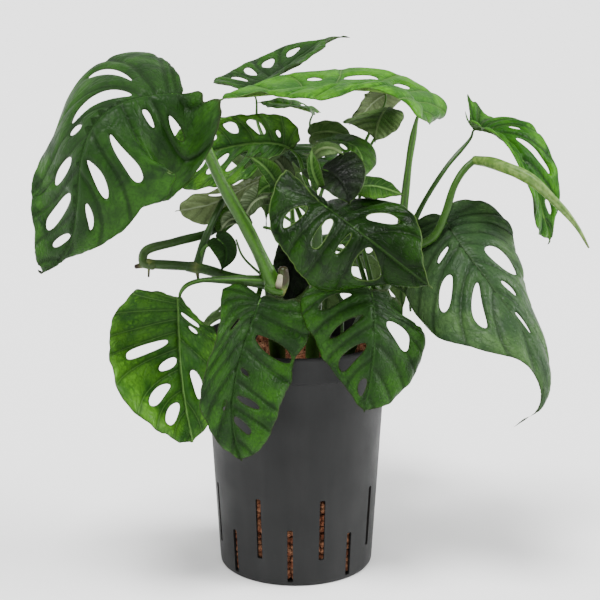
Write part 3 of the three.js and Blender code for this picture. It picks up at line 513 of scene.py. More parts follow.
@dataclass(frozen=True)
class StemFinish:
    """The colours of stems and leaf stalks, picked along each limb by its stored tint.

    The tints 0 to 4 stand for a leaf stalk, a stem, a knot, a root and a cut end, in the order below.
    """

    petiole: Colour = srgb("#3c671b")
    vine: Colour = srgb("#2c4e1b")
    knot: Colour = srgb("#8a934c")
    root: Colour = srgb("#2e1d14")
    cut: Colour = srgb("#d9d2b0")
    gloss: float = 0.38

    def material(self) -> bpy.types.Material:
        """Smooth green skin with pale ridges and fine streaks.

        Returns:
            The material of all stems.
        """
        nodes = Nodes("stem_skin")
        tint = nodes.attribute("tint")
        colour = nodes.mix(nodes.ramp(tint, 0, 1), self.petiole, self.vine)
        for start, later in ((1, self.knot), (2, self.root), (3, self.cut)):
            colour = nodes.mix(nodes.ramp(tint, start, start + 1), colour, later)
        ridge = nodes.maths("MULTIPLY", nodes.attribute("ridge"), nodes.ramp(tint, 0.6, 1.2, 0.75, 0.2))
        colour = nodes.mix(ridge, colour, shade(self.petiole, 2.6))
        streak = nodes.ramp(nodes.noise(420, 4), 0.45, 0.7, 0, 0.35)
        colour = nodes.mix(streak, colour, shade(self.vine, 0.6))
        pale = nodes.ramp(nodes.noise(110, 2), 0.5, 0.75, 0, 0.35)
        colour = nodes.mix(pale, colour, shade(self.petiole, 1.5))
        return nodes.finish(colour, self.gloss, nodes.noise(700, 4), 0.0003, Specular_IOR_Level=0.25)


@dataclass(frozen=True)
class GranuleFinish:
    """Fired clay: reddish brown, rough and finely porous."""

    clay: Colour = srgb("#8d5238")
    dusty: Colour = srgb("#bd8563")
    # dark: the pores' colour, and the painted shade on the core and the lower layer
    dark: Colour = srgb("#2c1811")

    def material(self) -> bpy.types.Material:
        """Clay with dusty patches and dark pores, and painted shade where the stored tint is high.

        Returns:
            The material of the granules.
        """
        nodes = Nodes("fired_clay")
        colour = nodes.mix(nodes.ramp(nodes.noise(160, 2), 0.4, 0.6), self.clay, self.dusty)
        # Painted shade: the stored tint darkens the core and the lower layer, besides a random tone of each
        # granule.
        colour = nodes.mix(nodes.ramp(nodes.attribute("tint"), 0, 1, 0, 0.8), colour, self.dark)
        colour = nodes.mix(nodes.ramp(nodes.noise(900, 4), 0.5, 0.65, 0, 0.7), colour, self.dark)
        return nodes.finish(colour, 0.93, nodes.noise(1300, 5), 0.0008, Specular_IOR_Level=0.2)


@dataclass(frozen=True)
class PotFinish:
    """Moulded plastic: dark grey and matte, with scuffs and faint upright streaks of painted sheen."""

    grey: Colour = srgb("#1e1f1f")
    # sheen_and_dust: the paler grey of the painted sheen, and the ground of the dust colour
    sheen_and_dust: Colour = srgb("#292929")

    def material(self) -> bpy.types.Material:
        """Plastic with upright streaks of painted sheen, and dust.

        Returns:
            The material of the pot.
        """
        nodes = Nodes("pot_plastic")
        stretched = nodes.node("ShaderNodeMapping")
        nodes.feed(stretched.inputs["Vector"], nodes.place)
        stretched.inputs["Scale"].default_value = (1, 1, 0.12)
        # Painted sheen: faint upright streaks of paler grey, where the round wall would mirror the lamps.
        painted_sheen = nodes.noise(70, 4, stretched.outputs["Vector"])
        colour = nodes.mix(nodes.ramp(painted_sheen, 0.35, 0.7, 0, 0.6), self.grey, self.sheen_and_dust)
        dust = nodes.ramp(nodes.noise(480, 5), 0.6, 0.8, 0, 0.25)
        colour = nodes.mix(dust, colour, shade(self.sheen_and_dust, 1.6))
        rough = nodes.ramp(nodes.noise(30, 3), 0.3, 0.7, 0.46, 0.6)
        return nodes.finish(colour, rough, nodes.noise(2600, 2), 0.00012, Specular_IOR_Level=0.2)


# ---- meshes ----
@dataclass
class Skin:
    """A mesh being gathered: points, faces and what is stored on them."""

    points: list[Array] = field(default_factory=list)
    faces: list[tuple[int, ...]] = field(default_factory=list)
    kinds: list[int] = field(default_factory=list)
    values: dict[str, list[Array]] = field(default_factory=dict)
    count: int = 0

    def add(self, points: Array, faces: Sequence[Sequence[int]], kind: int | Sequence[int] = 0,
            **values: Array | float) -> None:
        """Adds points, the faces on them, and the values stored at them.

        Args:
            points: places in millimetres, one row each.
            faces: corners of each face, counted from these points' first.
            kind: which of the piece's materials the faces take, one for all or one each.
            values: numbers or vectors stored on the points, by name.
        """
        self.points.append(points)
        self.faces += [tuple(int(k) + self.count for k in face) for face in faces]
        self.kinds += [kind] * len(faces) if isinstance(kind, int) else list(kind)
        for name, value in values.items():
            whole = np.full(len(points), value, float) if np.isscalar(value) else np.asarray(value, float)
            self.values.setdefault(name, []).append(whole)
        self.count += len(points)

    def build(self, name: str, materials: Sequence[bpy.types.Material],
              flat: Sequence[int] = ()) -> bpy.types.Object:
        """Makes the Blender object.

        Args:
            name: the piece's name.
            materials: the materials that the faces' kinds count through.
            flat: kinds whose faces aren't shaded smooth.

        Returns:
            The object, linked to the scene.
        """
        mesh = bpy.data.meshes.new(name)
        mesh.from_pydata((np.vstack(self.points) * MM).tolist(), [], self.faces)
        mesh.polygons.foreach_set("material_index", self.kinds)
        mesh.polygons.foreach_set("use_smooth", [kind not in flat for kind in self.kinds])
        for title, parts in self.values.items():
            whole = np.concatenate(parts)
            wide = whole.ndim == 2
            store = mesh.attributes.new(title, "FLOAT_VECTOR" if wide else "FLOAT", "POINT")
            store.data.foreach_set("vector" if wide else "value", whole.ravel())
        for material in materials:
            mesh.materials.append(material)
        mesh.validate()
        piece = bpy.data.objects.new(name, mesh)
        bpy.context.scene.collection.objects.link(piece)
        return piece


def dress(piece: bpy.types.Object, slot: str, *nodes: str) -> bpy.types.Object:
    """Lets a piece ride with the plant and stand for its solids.

    Args:
        piece: the finished piece.
        slot: the material slot meant for it; not used.
        nodes: the solids that it stands for.

    Returns:
        The piece.
    """
    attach(piece, "root")
    if nodes:
        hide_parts(*nodes)
    log.info("%s: %d points, for %s", piece.name, len(piece.data.vertices), ", ".join(nodes) or "itself")
    return piece


# ---- leaf blades ----
@dataclass(frozen=True)
class LeafShape:
    """The form of one leaf blade.

    rib: the midrib's four control points, from the stalk to the tip.
    up: the way the upper face looks at the stalk and at the tip.
    wide, lobe: half width and back lobe, on the left and right hand seen from the upper face.
    broad, point: where along the rib the blade is broadest, and how drawn out its tip is.
    fold, bend: the halves' rise at the midrib and their curl from there to the margin, in degrees.
    lift: how far the back lobes rise.
    left, right: holes along the side veins: place, half breadth, inner end, outer end, slant and, if
        given, how much broader the outer end is than the inner one.
    dents: places where the margin bulges or is notched: side, place, depth (out is positive), spread.
    quilt, ripple, uneven: how far the skin swells between side veins, how far the margin waves up and
        down, and how far in and out.
    drip: how long the drawn-out tip is, of its usual length.
    """

    rib: tuple[Point, Point, Point, Point]
    up: tuple[Point, Point]
    wide: Pair
    broad: Pair
    tone: Tone
    lobe: Pair = (3, 3)
    point: Pair = (1, 1)
    fold: Pair = (0, 0)
    bend: Pair = (0, 0)
    lift: Pair = (0, 0)
    left: tuple[Hole, ...] = ()
    right: tuple[Hole, ...] = ()
    dents: tuple[tuple[int, float, float, float], ...] = ()
    quilt: float = 1.9
    ripple: float = 1.8
    uneven: float = 1.5
    drip: float = 1.0


class Spacing:
    """Keeps flat places at least a given distance apart."""

    def __init__(self, reach: float) -> None:
        """Starts with no place taken."""
        self.reach = reach
        self.taken: dict[tuple[int, int], list[Array]] = {}

    def cell(self, spot: Array) -> tuple[int, int]:
        """The square of the plane that a place lies in."""
        return int(spot[0] // self.reach), int(spot[1] // self.reach)

    def take(self, spot: Array) -> None:
        """Marks a place as taken."""
        self.taken.setdefault(self.cell(spot), []).append(spot)

    def free(self, spot: Array) -> bool:
        """Takes a place if it is far enough from every taken one.

        Args:
            spot: the place.

        Returns:
            Whether it was taken.
        """
        column, row = self.cell(spot)
        for i in (-1, 0, 1):
            for j in (-1, 0, 1):
                for other in self.taken.get((column + i, row + j), ()):
                    if (spot[0] - other[0]) ** 2 + (spot[1] - other[1]) ** 2 < self.reach ** 2:
                        return False
        self.take(spot)
        return True


class LeafBlade:
    """One leaf blade: a curved sheet with veins, holes and a thin margin."""

    def __init__(self, name: str, shape: LeafShape) -> None:
        """Works out the midrib and the margins.

        Args:
            name: what the leaf is called.
            shape: its form.
        """
        self.name = name
        self.shape = shape
        t = np.linspace(0, 1, 401)
        controls = np.array(shape.rib, float)
        self.rib = bezier(controls, t)
        self.run = lengths(self.rib)
        self.length = float(self.run[-1])
        self.tangents = unit(np.gradient(self.rib, self.run, axis=0))
        self.bends = np.gradient(self.tangents, self.run, axis=0)
        self.faces = unit(np.array(shape.up, float))
        self.seed = 2 * sum(map(ord, name))
        self.margins = [self.margin(side) for side in (0, 1)]
        self.holes = (shape.left, shape.right)

    def margin(self, side: int) -> tuple[Array, Array]:
        """The margin of one half of the flat leaf.

        Args:
            side: 0 for the left half, 1 for the right.

        Returns:
            The share of its length at each place, and the places.
        """
        shape, long = self.shape, self.length
        wide, lobe, point = shape.wide[side], shape.lobe[side], shape.point[side]
        broad = shape.broad[side] * long
        # Round the back lobe, out to the broadest place, and on to the tip.
        pieces = [
            [(0, 0), (-0.75 * lobe, 0.02 * wide), (-lobe, 0.15 * wide), (-lobe, 0.42 * wide)],
            [(-lobe, 0.42 * wide), (-lobe, 0.85 * wide), (broad - 0.25 * long, wide), (broad, wide)],
            [(broad, wide), (broad + 0.34 * long, wide),
             (long * (1 - 0.2 * point), wide * (0.6 - 0.5 * point)), (long, 0)],
        ]
        t = np.linspace(0, 1, 80)
        curves = [bezier(np.array(piece, float), t)[min(k, 1):] for k, piece in enumerate(pieces)]
        places = np.vstack(curves)
        run = lengths(places)
        places = places + self.margin_waves(side, places, run)
        run = lengths(places)
        return run / run[-1], places

    def margin_waves(self, side: int, places: Array, run: Array) -> Array:
        """Small irregular waves of a margin, which fade at its ends.

        Args:
            side: 0 for the left half, 1 for the right.
            places: the margin's even curve.
            run: the running length along it.

        Returns:
            How far each place strays.
        """
        rng = np.random.default_rng(self.seed + side)
        outward = unit(np.gradient(places, axis=0)) @ np.array(((0, 1), (-1, 0)))
        offset = np.zeros(len(run))
        grown = min(1, self.length / FULL_LENGTH[0])
        for length in MARGIN_WAVES:
            size = self.shape.uneven * grown * (length / MARGIN_WAVES[0]) ** 0.9 * rng.uniform(0.5, 1)
            stretched = length * rng.uniform(0.8, 1.2)
            offset += size * np.sin(2 * math.pi * run / stretched + rng.uniform(0, 6.3))
        for half, place, depth, spread in self.shape.dents:
            if half == side:
                offset += depth * bell(run - place * run[-1], spread)
        fade = np.clip(np.minimum(run, run[-1] - run) / MARGIN_CALM, 0, 1)
        return outward * (offset * fade)[:, None]

    def axes(self, x: Array) -> tuple[Array, Array, Array, Array]:
        """The midrib and the leaf's own axes along it.

        Args:
            x: distances along the midrib.

        Returns:
            Places on the midrib, and the ways along, left and out there.
        """
        clamped = np.clip(x, 0, self.length)
        at = read_off(clamped, self.run, self.rib)
        forward = unit(read_off(clamped, self.run, self.tangents))
        up = blend(self.faces[0], self.faces[1], (clamped / self.length)[:, None])
        left = unit(np.cross(up, forward))
        return at, forward, left, np.cross(forward, left)

    def eased(self, x: Array, left: Array, across: Array) -> Array:
        """Keeps a blade short of the middle of its midrib's own bend.

        Args:
            x: distances along the midrib.
            left: the way left there.
            across: distances across the blade.

        Returns:
            The distances across, held back.
        """
        clamped = np.clip(x, 0, self.length)
        bend = read_off(clamped, self.run, self.bends)
        share = across * (bend * left).sum(-1)
        over = np.maximum(share - BEND_LIMIT, 0)
        kept = BEND_LIMIT + (1 - BEND_LIMIT) * np.tanh(over / (1 - BEND_LIMIT))
        return np.where(share > BEND_LIMIT, across * kept / np.maximum(share, 1e-6), across)

    def on_vein(self, side: int, place: Array, v: Array) -> Array:
        """Flat points on side veins.

        Args:
            side: 0 for the left half, 1 for the right.
            place: the veins' ends, as shares of the margin.
            v: how far out on them, from midrib to margin.

        Returns:
            The points.
        """
        share, places = self.margins[side]
        end = read_off(place, share, places)
        root = np.stack([self.length * place ** VEIN_SWEEP, np.zeros_like(place)], -1)
        knee = np.stack([blend(root[:, 0], end[:, 0], VEIN_KNEE[0]), VEIN_KNEE[1] * end[:, 1]], -1)
        v = v[:, None]
        return (1 - v) ** 2 * root + 2 * v * (1 - v) * knee + v ** 2 * end

    def to_space(self, flat: Array) -> Array:
        """Bends the flat leaf into its form.

        Args:
            flat: places on the flat leaf, x along the midrib and y to its left.

        Returns:
            Places in the plant's frame.
        """
        shape = self.shape
        at, forward, left, out = self.axes(flat[:, 0])
        back = np.minimum(flat[:, 0], 0)
        over = np.maximum(flat[:, 0] - self.length, 0)
        side = (flat[:, 1] < 0).astype(int)
        y = np.abs(flat[:, 1])
        fold = np.radians(np.array(shape.fold, float))[side]
        bend = np.array([b or 0.01 for b in shape.bend], float)
        curl = (np.radians(bend) / np.array(shape.wide))[side]
        across = (np.sin(fold + curl * y) - np.sin(fold)) / curl
        rise = -(np.cos(fold + curl * y) - np.cos(fold)) / curl
        lift = np.array(shape.lift, float)[side] * (back / np.array(shape.lobe, float)[side]) ** 2
        across = self.eased(flat[:, 0], left, np.where(side == 0, across, -across))
        rise = rise + lift - TIP_DROOP * over ** 2
        return at + forward * (back + over)[:, None] + left * across[:, None] + out * rise[:, None]

    def veins(self, side: int) -> Array:
        """The side veins of one half, led by its holes.

        Args:
            side: 0 for the left half, 1 for the right.

        Returns:
            The place at the midrib and the place at the margin of each limit between veins.
        """
        axes = []
        for place, _, inner, outer, slant, *_ in self.holes[side]:
            lean = slant / (outer - inner)
            middle = (inner + outer) / 2
            if outer - inner > SHORT_HOLE:
                axes.append((place - lean * middle, place + lean * (1 - middle)))
        for k in range(1, len(axes)):
            least = [axes[k - 1][end] + VEIN_APART for end in (0, 1)]
            axes[k] = (max(axes[k][0], least[0]), max(axes[k][1], least[1]))
        axes = [(min(root, VEIN_LAST[0]), min(end, VEIN_LAST[1])) for root, end in axes]
        stops = [(0.0, 0.0), *axes, (1.0, 1.0)]
        rows = [(0.0, 0.0)]
        for k, (a, b) in enumerate(zip(stops, stops[1:])):
            beside = k == 0 or k == len(stops) - 2
            cuts = max(1, int((b[1] - a[1]) / VEIN_SPACING)) if beside else 1
            for cut in range(cuts):
                share = (cut + 0.5) / cuts
                row = [blend(a[end], b[end], share) for end in (0, 1)]
                rows.append((max(row[0], rows[-1][0]), row[1]))
        return np.array([*rows, (1.0, 1.0)])

    def hole_loop(self, side: int, hole: Hole) -> Array:
        """The outline of one hole.

        Args:
            side: 0 for the left half, 1 for the right.
            hole: its values, as LeafShape gives them.

        Returns:
            The closed flat outline.
        """
        place, half, inner, outer, slant, *more = hole
        ends = self.on_vein(side, np.full(2, place), np.array([inner, outer]))
        count = int(np.clip(2.6 * np.linalg.norm(ends[1] - ends[0]) / LEAF_STEP, *HOLE_POINTS))
        angle = circle(count)
        rng = np.random.default_rng(self.seed + side + int(1000 * place))
        run = -np.cos(angle) / 2
        egg = more[0] if more else rng.uniform(-0.1, 0.25)
        girth = np.sign(np.sin(angle)) * np.abs(np.sin(angle)) ** rng.uniform(0.75, 1.1)
        girth *= 1 - egg * np.cos(angle) + 0.1 * np.sin(2 * angle + rng.uniform(0, 6.3))
        v = (inner + outer) / 2 + (outer - inner) * run
        loop = self.on_vein(side, place + slant * run + half * girth, v)
        return on_side(side, loop)

    def outline(self) -> Array:
        """The outline of the whole blade.

        Returns:
            The closed flat outline.
        """
        halves = []
        for side in (0, 1):
            share, places = self.margins[side]
            total = lengths(places)[-1]
            stops = np.linspace(0, 1, max(12, int(total / (0.8 * LEAF_STEP))))
            halves.append(on_side(side, read_off(stops, share, places)))
        long, half = DRIP_TIP[0] * self.length * self.shape.drip, DRIP_TIP[1]
        near, far = self.length + 0.3 * long, self.length + long
        between = blend(near, far, 0.5)
        tip = [(near, half), (between, 0.7 * half), (far, 0), (between, -0.7 * half), (near, -half)]
        return np.vstack([halves[0][:-1], tip, halves[1][-2:0:-1]])

    def vein_lines(self, side: int) -> list[Array]:
        """Lines of flat places that follow the side veins.

        Args:
            side: 0 for the left half, 1 for the right.

        Returns:
            The lines, those on the veins first.
        """
        margin_length = lengths(self.margins[side][1])[-1]
        rows = self.veins(side)
        lines = []
        for a, b in zip(rows, rows[1:]):
            reach = max(abs(self.on_vein(side, a[1:], np.ones(1))[0, 1]), 6)
            across = max(2, round((b[1] - a[1]) * margin_length / LEAF_STEP))
            outward = max(4, round(1.25 * max(reach, 0.5 * max(self.shape.wide)) / LEAF_STEP))
            v = (np.arange(outward) + 0.5) / outward
            for step in range(across):
                place = blend(blend(a[0], a[1], v), blend(b[0], b[1], v), step / across)
                lines.append((step != 0, on_side(side, self.on_vein(side, place, v))))
        return [line for _, line in sorted(lines, key=lambda one: one[0])]

    def scatter(self) -> tuple[Array, Array, list[Array], list[Array]]:
        """Places of the mesh's points on the flat leaf.

        Returns:
            The places, the blade's outline, the outlines of its holes, and the edges that the mesh has
            to keep.
        """
        outline = self.outline()
        loops = [self.hole_loop(side, hole) for side in (0, 1) for hole in self.holes[side]]
        tip = int(np.argmax(outline[:, 0]))
        stops = np.linspace(0, self.length, max(6, int(self.length / LEAF_STEP)))[1:-1]
        ribs = np.stack([stops, np.zeros_like(stops)], -1)
        fixed = [outline, *loops, ribs]
        edges, start = [], 0
        for ring in [outline, *loops]:
            numbers = np.arange(len(ring))
            edges.append(np.stack([numbers, np.roll(numbers, -1)], -1) + start)
            start += len(ring)
        chain = np.r_[0, np.arange(len(ribs)) + start, tip]
        edges.append(np.stack([chain[:-1], chain[1:]], -1))
        spacing = Spacing(LEAST_STEP * LEAF_STEP)
        for spot in np.vstack(fixed):
            spacing.take(spot)
        kept = []
        for side in (0, 1):
            for line in self.vein_lines(side):
                kept += [spot for spot in line if spacing.free(spot)]
        spots = np.array(kept)
        for loop in loops:
            spots = spots[~inside(spots, loop)]
        spots = spots[inside(spots, outline)]
        return np.vstack([*fixed, spots]), outline, loops, edges

    def veinwise(self, spots: Array) -> Array:
        """Where flat places lie among the veins.

        Args:
            spots: the places.

        Returns:
            The share of the margin and the share of the way outward, for each.
        """
        found = np.zeros((len(spots), 2))
        place, v = (grid.ravel() for grid in np.meshgrid(np.linspace(0, 1, 90), np.linspace(0, 1, 40)))
        for side in (0, 1):
            mine = np.flatnonzero((spots[:, 1] < 0) == (side == 1))
            net = on_side(side, self.on_vein(side, place, v))
            tree = KDTree(len(net))
            for k, spot in enumerate(net):
                tree.insert((*spot, 0), k)
            tree.balance()
            for k in mine:
                near = tree.find_n((*spots[k], 0), 3)
                weights = np.array([1 / (gap + 1e-3) for _, _, gap in near])
                numbers = [number for _, number, _ in near]
                found[k] = [np.average(values[numbers], weights=weights) for values in (place, v)]
        return found

    def measure(self, spots: Array, outline: Array, loops: list[Array]) -> dict[str, Array]:
        """What the finish and the relief need to know at each flat place.

        Args:
            spots: places on the flat leaf.
            outline: the blade's closed outline.
            loops: the closed outlines of its holes.

        Returns:
            Distances from the nearest side vein, the midrib and the nearest edge in millimetres, the
            place among the veins and the flat place itself.
        """
        share, v = self.veinwise(spots).T
        vein_gap = np.full(len(spots), FAR_OFF[0])
        count = np.zeros(len(spots))
        for side in (0, 1):
            mine = (spots[:, 1] < 0) == (side == 1)
            rows = self.veins(side)
            limits = blend(rows[None, :, 0], rows[None, :, 1], v[mine][:, None])
            number = np.clip((share[mine][:, None] >= limits).sum(1) - 1, 0, len(rows) - 2)
            picked = np.arange(len(number))
            low, high = limits[picked, number], limits[picked, number + 1]
            count[mine] = number + np.clip((share[mine] - low) / np.maximum(high - low, 1e-6), 0, 1)
            out = np.linspace(0, 1, 26)
            for root, end in rows[1:-1]:
                chain = on_side(side, self.on_vein(side, blend(root, end, out), out))
                vein_gap[mine] = np.minimum(vein_gap[mine], chain_distance(spots[mine], chain))
        edge_gap = np.full(len(spots), FAR_OFF[1])
        for ring in [outline, *loops]:
            edge_gap = np.minimum(edge_gap, chain_distance(spots, np.vstack([ring, ring[:1]])))
        rib_gap = np.hypot(np.minimum(spots[:, 0], 0), spots[:, 1])
        other = np.where(spots[:, 1] < 0, OTHER_HALF, 0.0)
        return {
            "vein_gap": vein_gap, "rib_gap": rib_gap, "edge_gap": edge_gap, "outward": v,
            "veinwise": np.stack([NETWORK[0] * count, NETWORK[1] * v, other], -1),
            "leaf_place": np.stack([spots[:, 0], spots[:, 1], np.zeros(len(spots))], -1),
        }

    def relief(self, spots: Array, known: dict[str, Array]) -> Array:
        """How far the sheet stands out of its plain form.

        Args:
            spots: places on the flat leaf.
            known: what measure() gives for them.

        Returns:
            One height for each place.
        """
        shape = self.shape
        vein, rib, edge, v = (known[name] for name in ("vein_gap", "rib_gap", "edge_gap", "outward"))
        calm = np.clip(edge / 4, 0, 1) ** 0.7 * np.clip(rib / 3, 0, 1)
        grown = min(1, self.length / FULL_LENGTH[1])
        swell = shape.quilt * grown ** 1.4 * (1 - bell(vein, SWELL_WIDTH)) * calm
        groove = -VEIN_GROOVE[0] * bell(vein, VEIN_GROOVE[1]) * calm
        towards_base = np.clip(1.15 - spots[:, 0] / self.length, 0, 1)
        trough = -RIB_TROUGH[0] * bell(rib, RIB_TROUGH[1]) * towards_base
        turn = known["veinwise"][:, 0] / NETWORK[0] * math.pi + self.seed + 1.3 * np.sign(spots[:, 1])
        ripple = shape.ripple * grown * v ** 2 * (0.6 * np.sin(turn) + 0.4 * np.sin(0.43 * turn + 1))
        uneven = 0.35 * np.sin(spots[:, 0] / 7.3 + 1) * np.sin(spots[:, 1] / 5.9)
        return swell + groove + trough + ripple + uneven * np.clip(edge / 5, 0, 1)

    def sheet(self) -> tuple[Array, Array, Array, list[Array]]:
        """Meshes the flat leaf.

        Returns:
            Its places, its triangles, its outline and its hole outlines.
        """
        flat, outline, loops, edges = self.scatter()
        spots, _, faces, *_ = delaunay_2d_cdt(
            [Vector(spot) for spot in flat], np.vstack(edges).tolist(), [], 0, 1e-4)
        spots = np.array([tuple(spot) for spot in spots])
        triangles = np.array(faces)
        centres = spots[triangles].mean(1)
        keep = inside(centres, outline)
        for loop in loops:
            keep &= ~inside(centres, loop)
        legs = np.diff(spots[triangles], axis=1)
        area = legs[:, 0, 0] * legs[:, 1, 1] - legs[:, 0, 1] * legs[:, 1, 0]
        triangles = np.where((area < 0)[:, None], triangles[:, ::-1], triangles)
        triangles = triangles[keep & (np.abs(area) > 1e-4)]
        used, numbers = np.unique(triangles, return_inverse=True)
        return spots[used], numbers.reshape(triangles.shape), outline, loops

    def build(self, *nodes: str) -> bpy.types.Object:
        """Makes the blade and dresses it.

        Args:
            nodes: the solids that it stands for.

        Returns:
            The piece.
        """
        spots, triangles, outline, loops = self.sheet()
        known = self.measure(spots, outline, loops)
        middle = self.to_space(spots)
        middle = middle + sheet_normals(middle, triangles) * self.relief(spots, known)[:, None]
        out = sheet_normals(middle, triangles)
        edge, rib, vein = known["edge_gap"], known["rib_gap"], known["vein_gap"]
        half = 0.5 * LEAF_THICKNESS * (0.5 + 0.5 * np.clip(edge / 2.5, 0, 1))
        run = np.clip(1 - spots[:, 0] / self.length, 0, 1)
        keel = RIB_KEEL[0] * run * bell(rib, RIB_KEEL[1])
        keel += VEIN_KEEL[0] * bell(vein, VEIN_KEEL[1]) * np.clip(edge / 3, 0, 1)
        top = middle + out * half[:, None]
        under = middle - out * (half + keel)[:, None]
        count = len(spots)
        sides = np.vstack([triangles[:, (0, 1)], triangles[:, (1, 2)], triangles[:, (2, 0)]])
        known_sides = {(int(a), int(b)) for a, b in sides}
        rim = [(a, a + count, b + count, b) for a, b in known_sides if (b, a) not in known_sides]
        faces = [*triangles, *(triangles[:, ::-1] + count), *rim]
        kinds = [0] * len(triangles) + [1] * len(triangles) + [2] * len(rim)
        skin = Skin()
        doubled = {title: np.concatenate([value, value]) for title, value in known.items()}
        skin.add(np.vstack([top, under]), faces, kinds, **doubled)
        finish = self.shape.tone.value
        title = f"blade_{self.name}"
        materials = [finish.face(title, True), finish.face(title, False), finish.rim(title)]
        piece = skin.build(title, materials, flat=(2,))
        return dress(piece, SLOTS[self.shape.tone], *nodes)


# ---- stems and leaf stalks ----
@dataclass(frozen=True)
class Limb:
    """A shoot, tendril or root: the points it passes, its radii and its tints from 0 to 4."""

    points: tuple[Point, ...]
    radii: tuple[float, ...]
    tints: tuple[float, ...] = (0.9, 0.6)


@dataclass(frozen=True)
class Stalk:
    """A leaf stalk: its points from the stem, its radii, and its tints from 0 to 4.

    reach: how far before its leaf's base it turns in, and how far under the midrib's line.
    """

    points: tuple[Point, ...]
    radii: tuple[float, ...]
    reach: Pair
    tints: tuple[float, ...] = (0.7, 0.2, 0.0)


@dataclass(frozen=True)
class StemPlan:
    """A leafy stem: its own limbs and the stalks of the leaves that it bears."""

    limbs: tuple[Limb, ...]
    stalks: dict[str, Stalk]


def smooth_path(points: Sequence[Point], spacing: float) -> Array:
    """A centripetal curve through given points.

    Args:
        points: the points.
        spacing: the distance between places on the curve.

    Returns:
        Evenly spaced places.
    """
    given = np.array(points, float)
    whole = np.vstack([2 * given[0] - given[1], given, 2 * given[-1] - given[-2]])
    t = np.linspace(0, 1, 24, endpoint=False)[:, None]
    parts = []
    for a, b, c, d in zip(whole, whole[1:], whole[2:], whole[3:]):
        s0, s1, s2 = (max(np.linalg.norm(q - p), 1e-6) ** 0.5 for p, q in ((a, b), (b, c), (c, d)))
        leave = ((b - a) / s0 - (c - a) / (s0 + s1) + (c - b) / s1) * s1
        arrive = ((c - b) / s1 - (d - b) / (s1 + s2) + (d - c) / s2) * s1
        parts.append(b + leave * t + (3 * (c - b) - 2 * leave - arrive) * t ** 2
                     + (2 * (b - c) + leave + arrive) * t ** 3)
    chain = np.vstack([*parts, given[-1]])
    total = lengths(chain)[-1]
    return along(chain, np.linspace(0, total, max(4, int(total / spacing) + 1)))


def frames(path: Array) -> tuple[Array, Array, Array]:
    """Directions along a path and across it, turning as little as possible.

    Args:
        path: the path's points.

    Returns:
        The way on, and two ways across, at each point.
    """
    forward = unit(np.gradient(path, axis=0))
    start = np.array((0, 0, 1.0)) if abs(forward[0, 2]) < 0.8 else np.array((0, 1.0, 0))
    across = [unit(np.cross(start, forward[0]))]
    for direction in forward[1:]:
        last = across[-1]
        across.append(unit(last - direction * (last @ direction)))
    across = np.array(across)
    return forward, across, np.cross(forward, across)


@dataclass(frozen=True)
class Sweep:
    """How a round limb is skinned.

    sides, spacing: points round it, and the distance between its rings.
    channel: how deep the channel along it is, of its radius.
    flare: how much thicker it starts.
    twist, overlap: how far the seam of a rolled limb winds round it, and how far the seam stands up.
    """

    sides: int = 14
    spacing: float = 1.6
    channel: float = 0.0
    flare: float = 0.25
    twist: float = 0.0
    overlap: float = 0.0

    def ending(self, centre: Array, outward: Array, radius: float,
               number: int) -> list[tuple[Array, int, float]]:
        """Rings that round off an end.

        Args:
            centre: the end's middle.
            outward: the way out.
            radius: the limb's radius there.
            number: the number of the path's point.

        Returns:
            Middle, number and radius of each ring, widest first.
        """
        angles, bulge = ROUND_END
        return [(centre + outward * radius * bulge * math.sin(a), number, radius * math.cos(a))
                for a in np.radians(angles)[::-1]]

    def add_to(self, skin: Skin, points: Sequence[Point], radii: Sequence[float],
               tints: Sequence[float]) -> None:
        """Adds a closed limb to a skin.

        Args:
            skin: the mesh being gathered.
            points: what the limb passes.
            radii: its radii, spread evenly along it.
            tints: its tints, spread evenly along it.
        """
        path = smooth_path(points, self.spacing)
        run = lengths(path)
        share = run / run[-1]
        radius = np.interp(share, np.linspace(0, 1, len(radii)), radii)
        tint = np.interp(share, np.linspace(0, 1, len(tints)), tints)
        radius = radius * (1 + self.flare * bell(run, 1.6 * radii[0]))
        radius = radius * (1 + 0.03 * np.sin(run / 5.1 + radii[0]))
        forward, across, side = frames(path)
        rings = [*self.ending(path[0], -forward[0], radius[0], 0)[::-1],
                 *[(path[k], k, radius[k]) for k in range(len(path))],
                 *self.ending(path[-1], forward[-1], radius[-1], -1)]
        angle = circle(self.sides)
        rows, stored, ridges = [], [], []
        for number, (centre, k, size) in enumerate(rings):
            upward = math.atan2(side[k] @ CHANNEL_WAY, across[k] @ CHANNEL_WAY)
            away = np.angle(np.exp(1j * (angle - upward)))
            turned = (angle + self.twist * number / len(rings)) % (2 * math.pi)
            hollow = self.channel * bell(away, CHANNEL_WIDTH)
            girth = size * (1 - hollow + self.overlap * turned / (2 * math.pi))
            rows.append(centre + np.outer(girth * np.cos(angle), across[k])
                        + np.outer(girth * np.sin(angle), side[k]))
            stored.append(np.full(self.sides, tint[k]))
            ridges.append((self.channel > 0) * bell(np.abs(away) - CHANNEL_RIDGES[0], CHANNEL_RIDGES[1]))
        skin.add(np.vstack(rows), round_faces(len(rings), self.sides),
                 tint=np.concatenate(stored), ridge=np.concatenate(ridges))


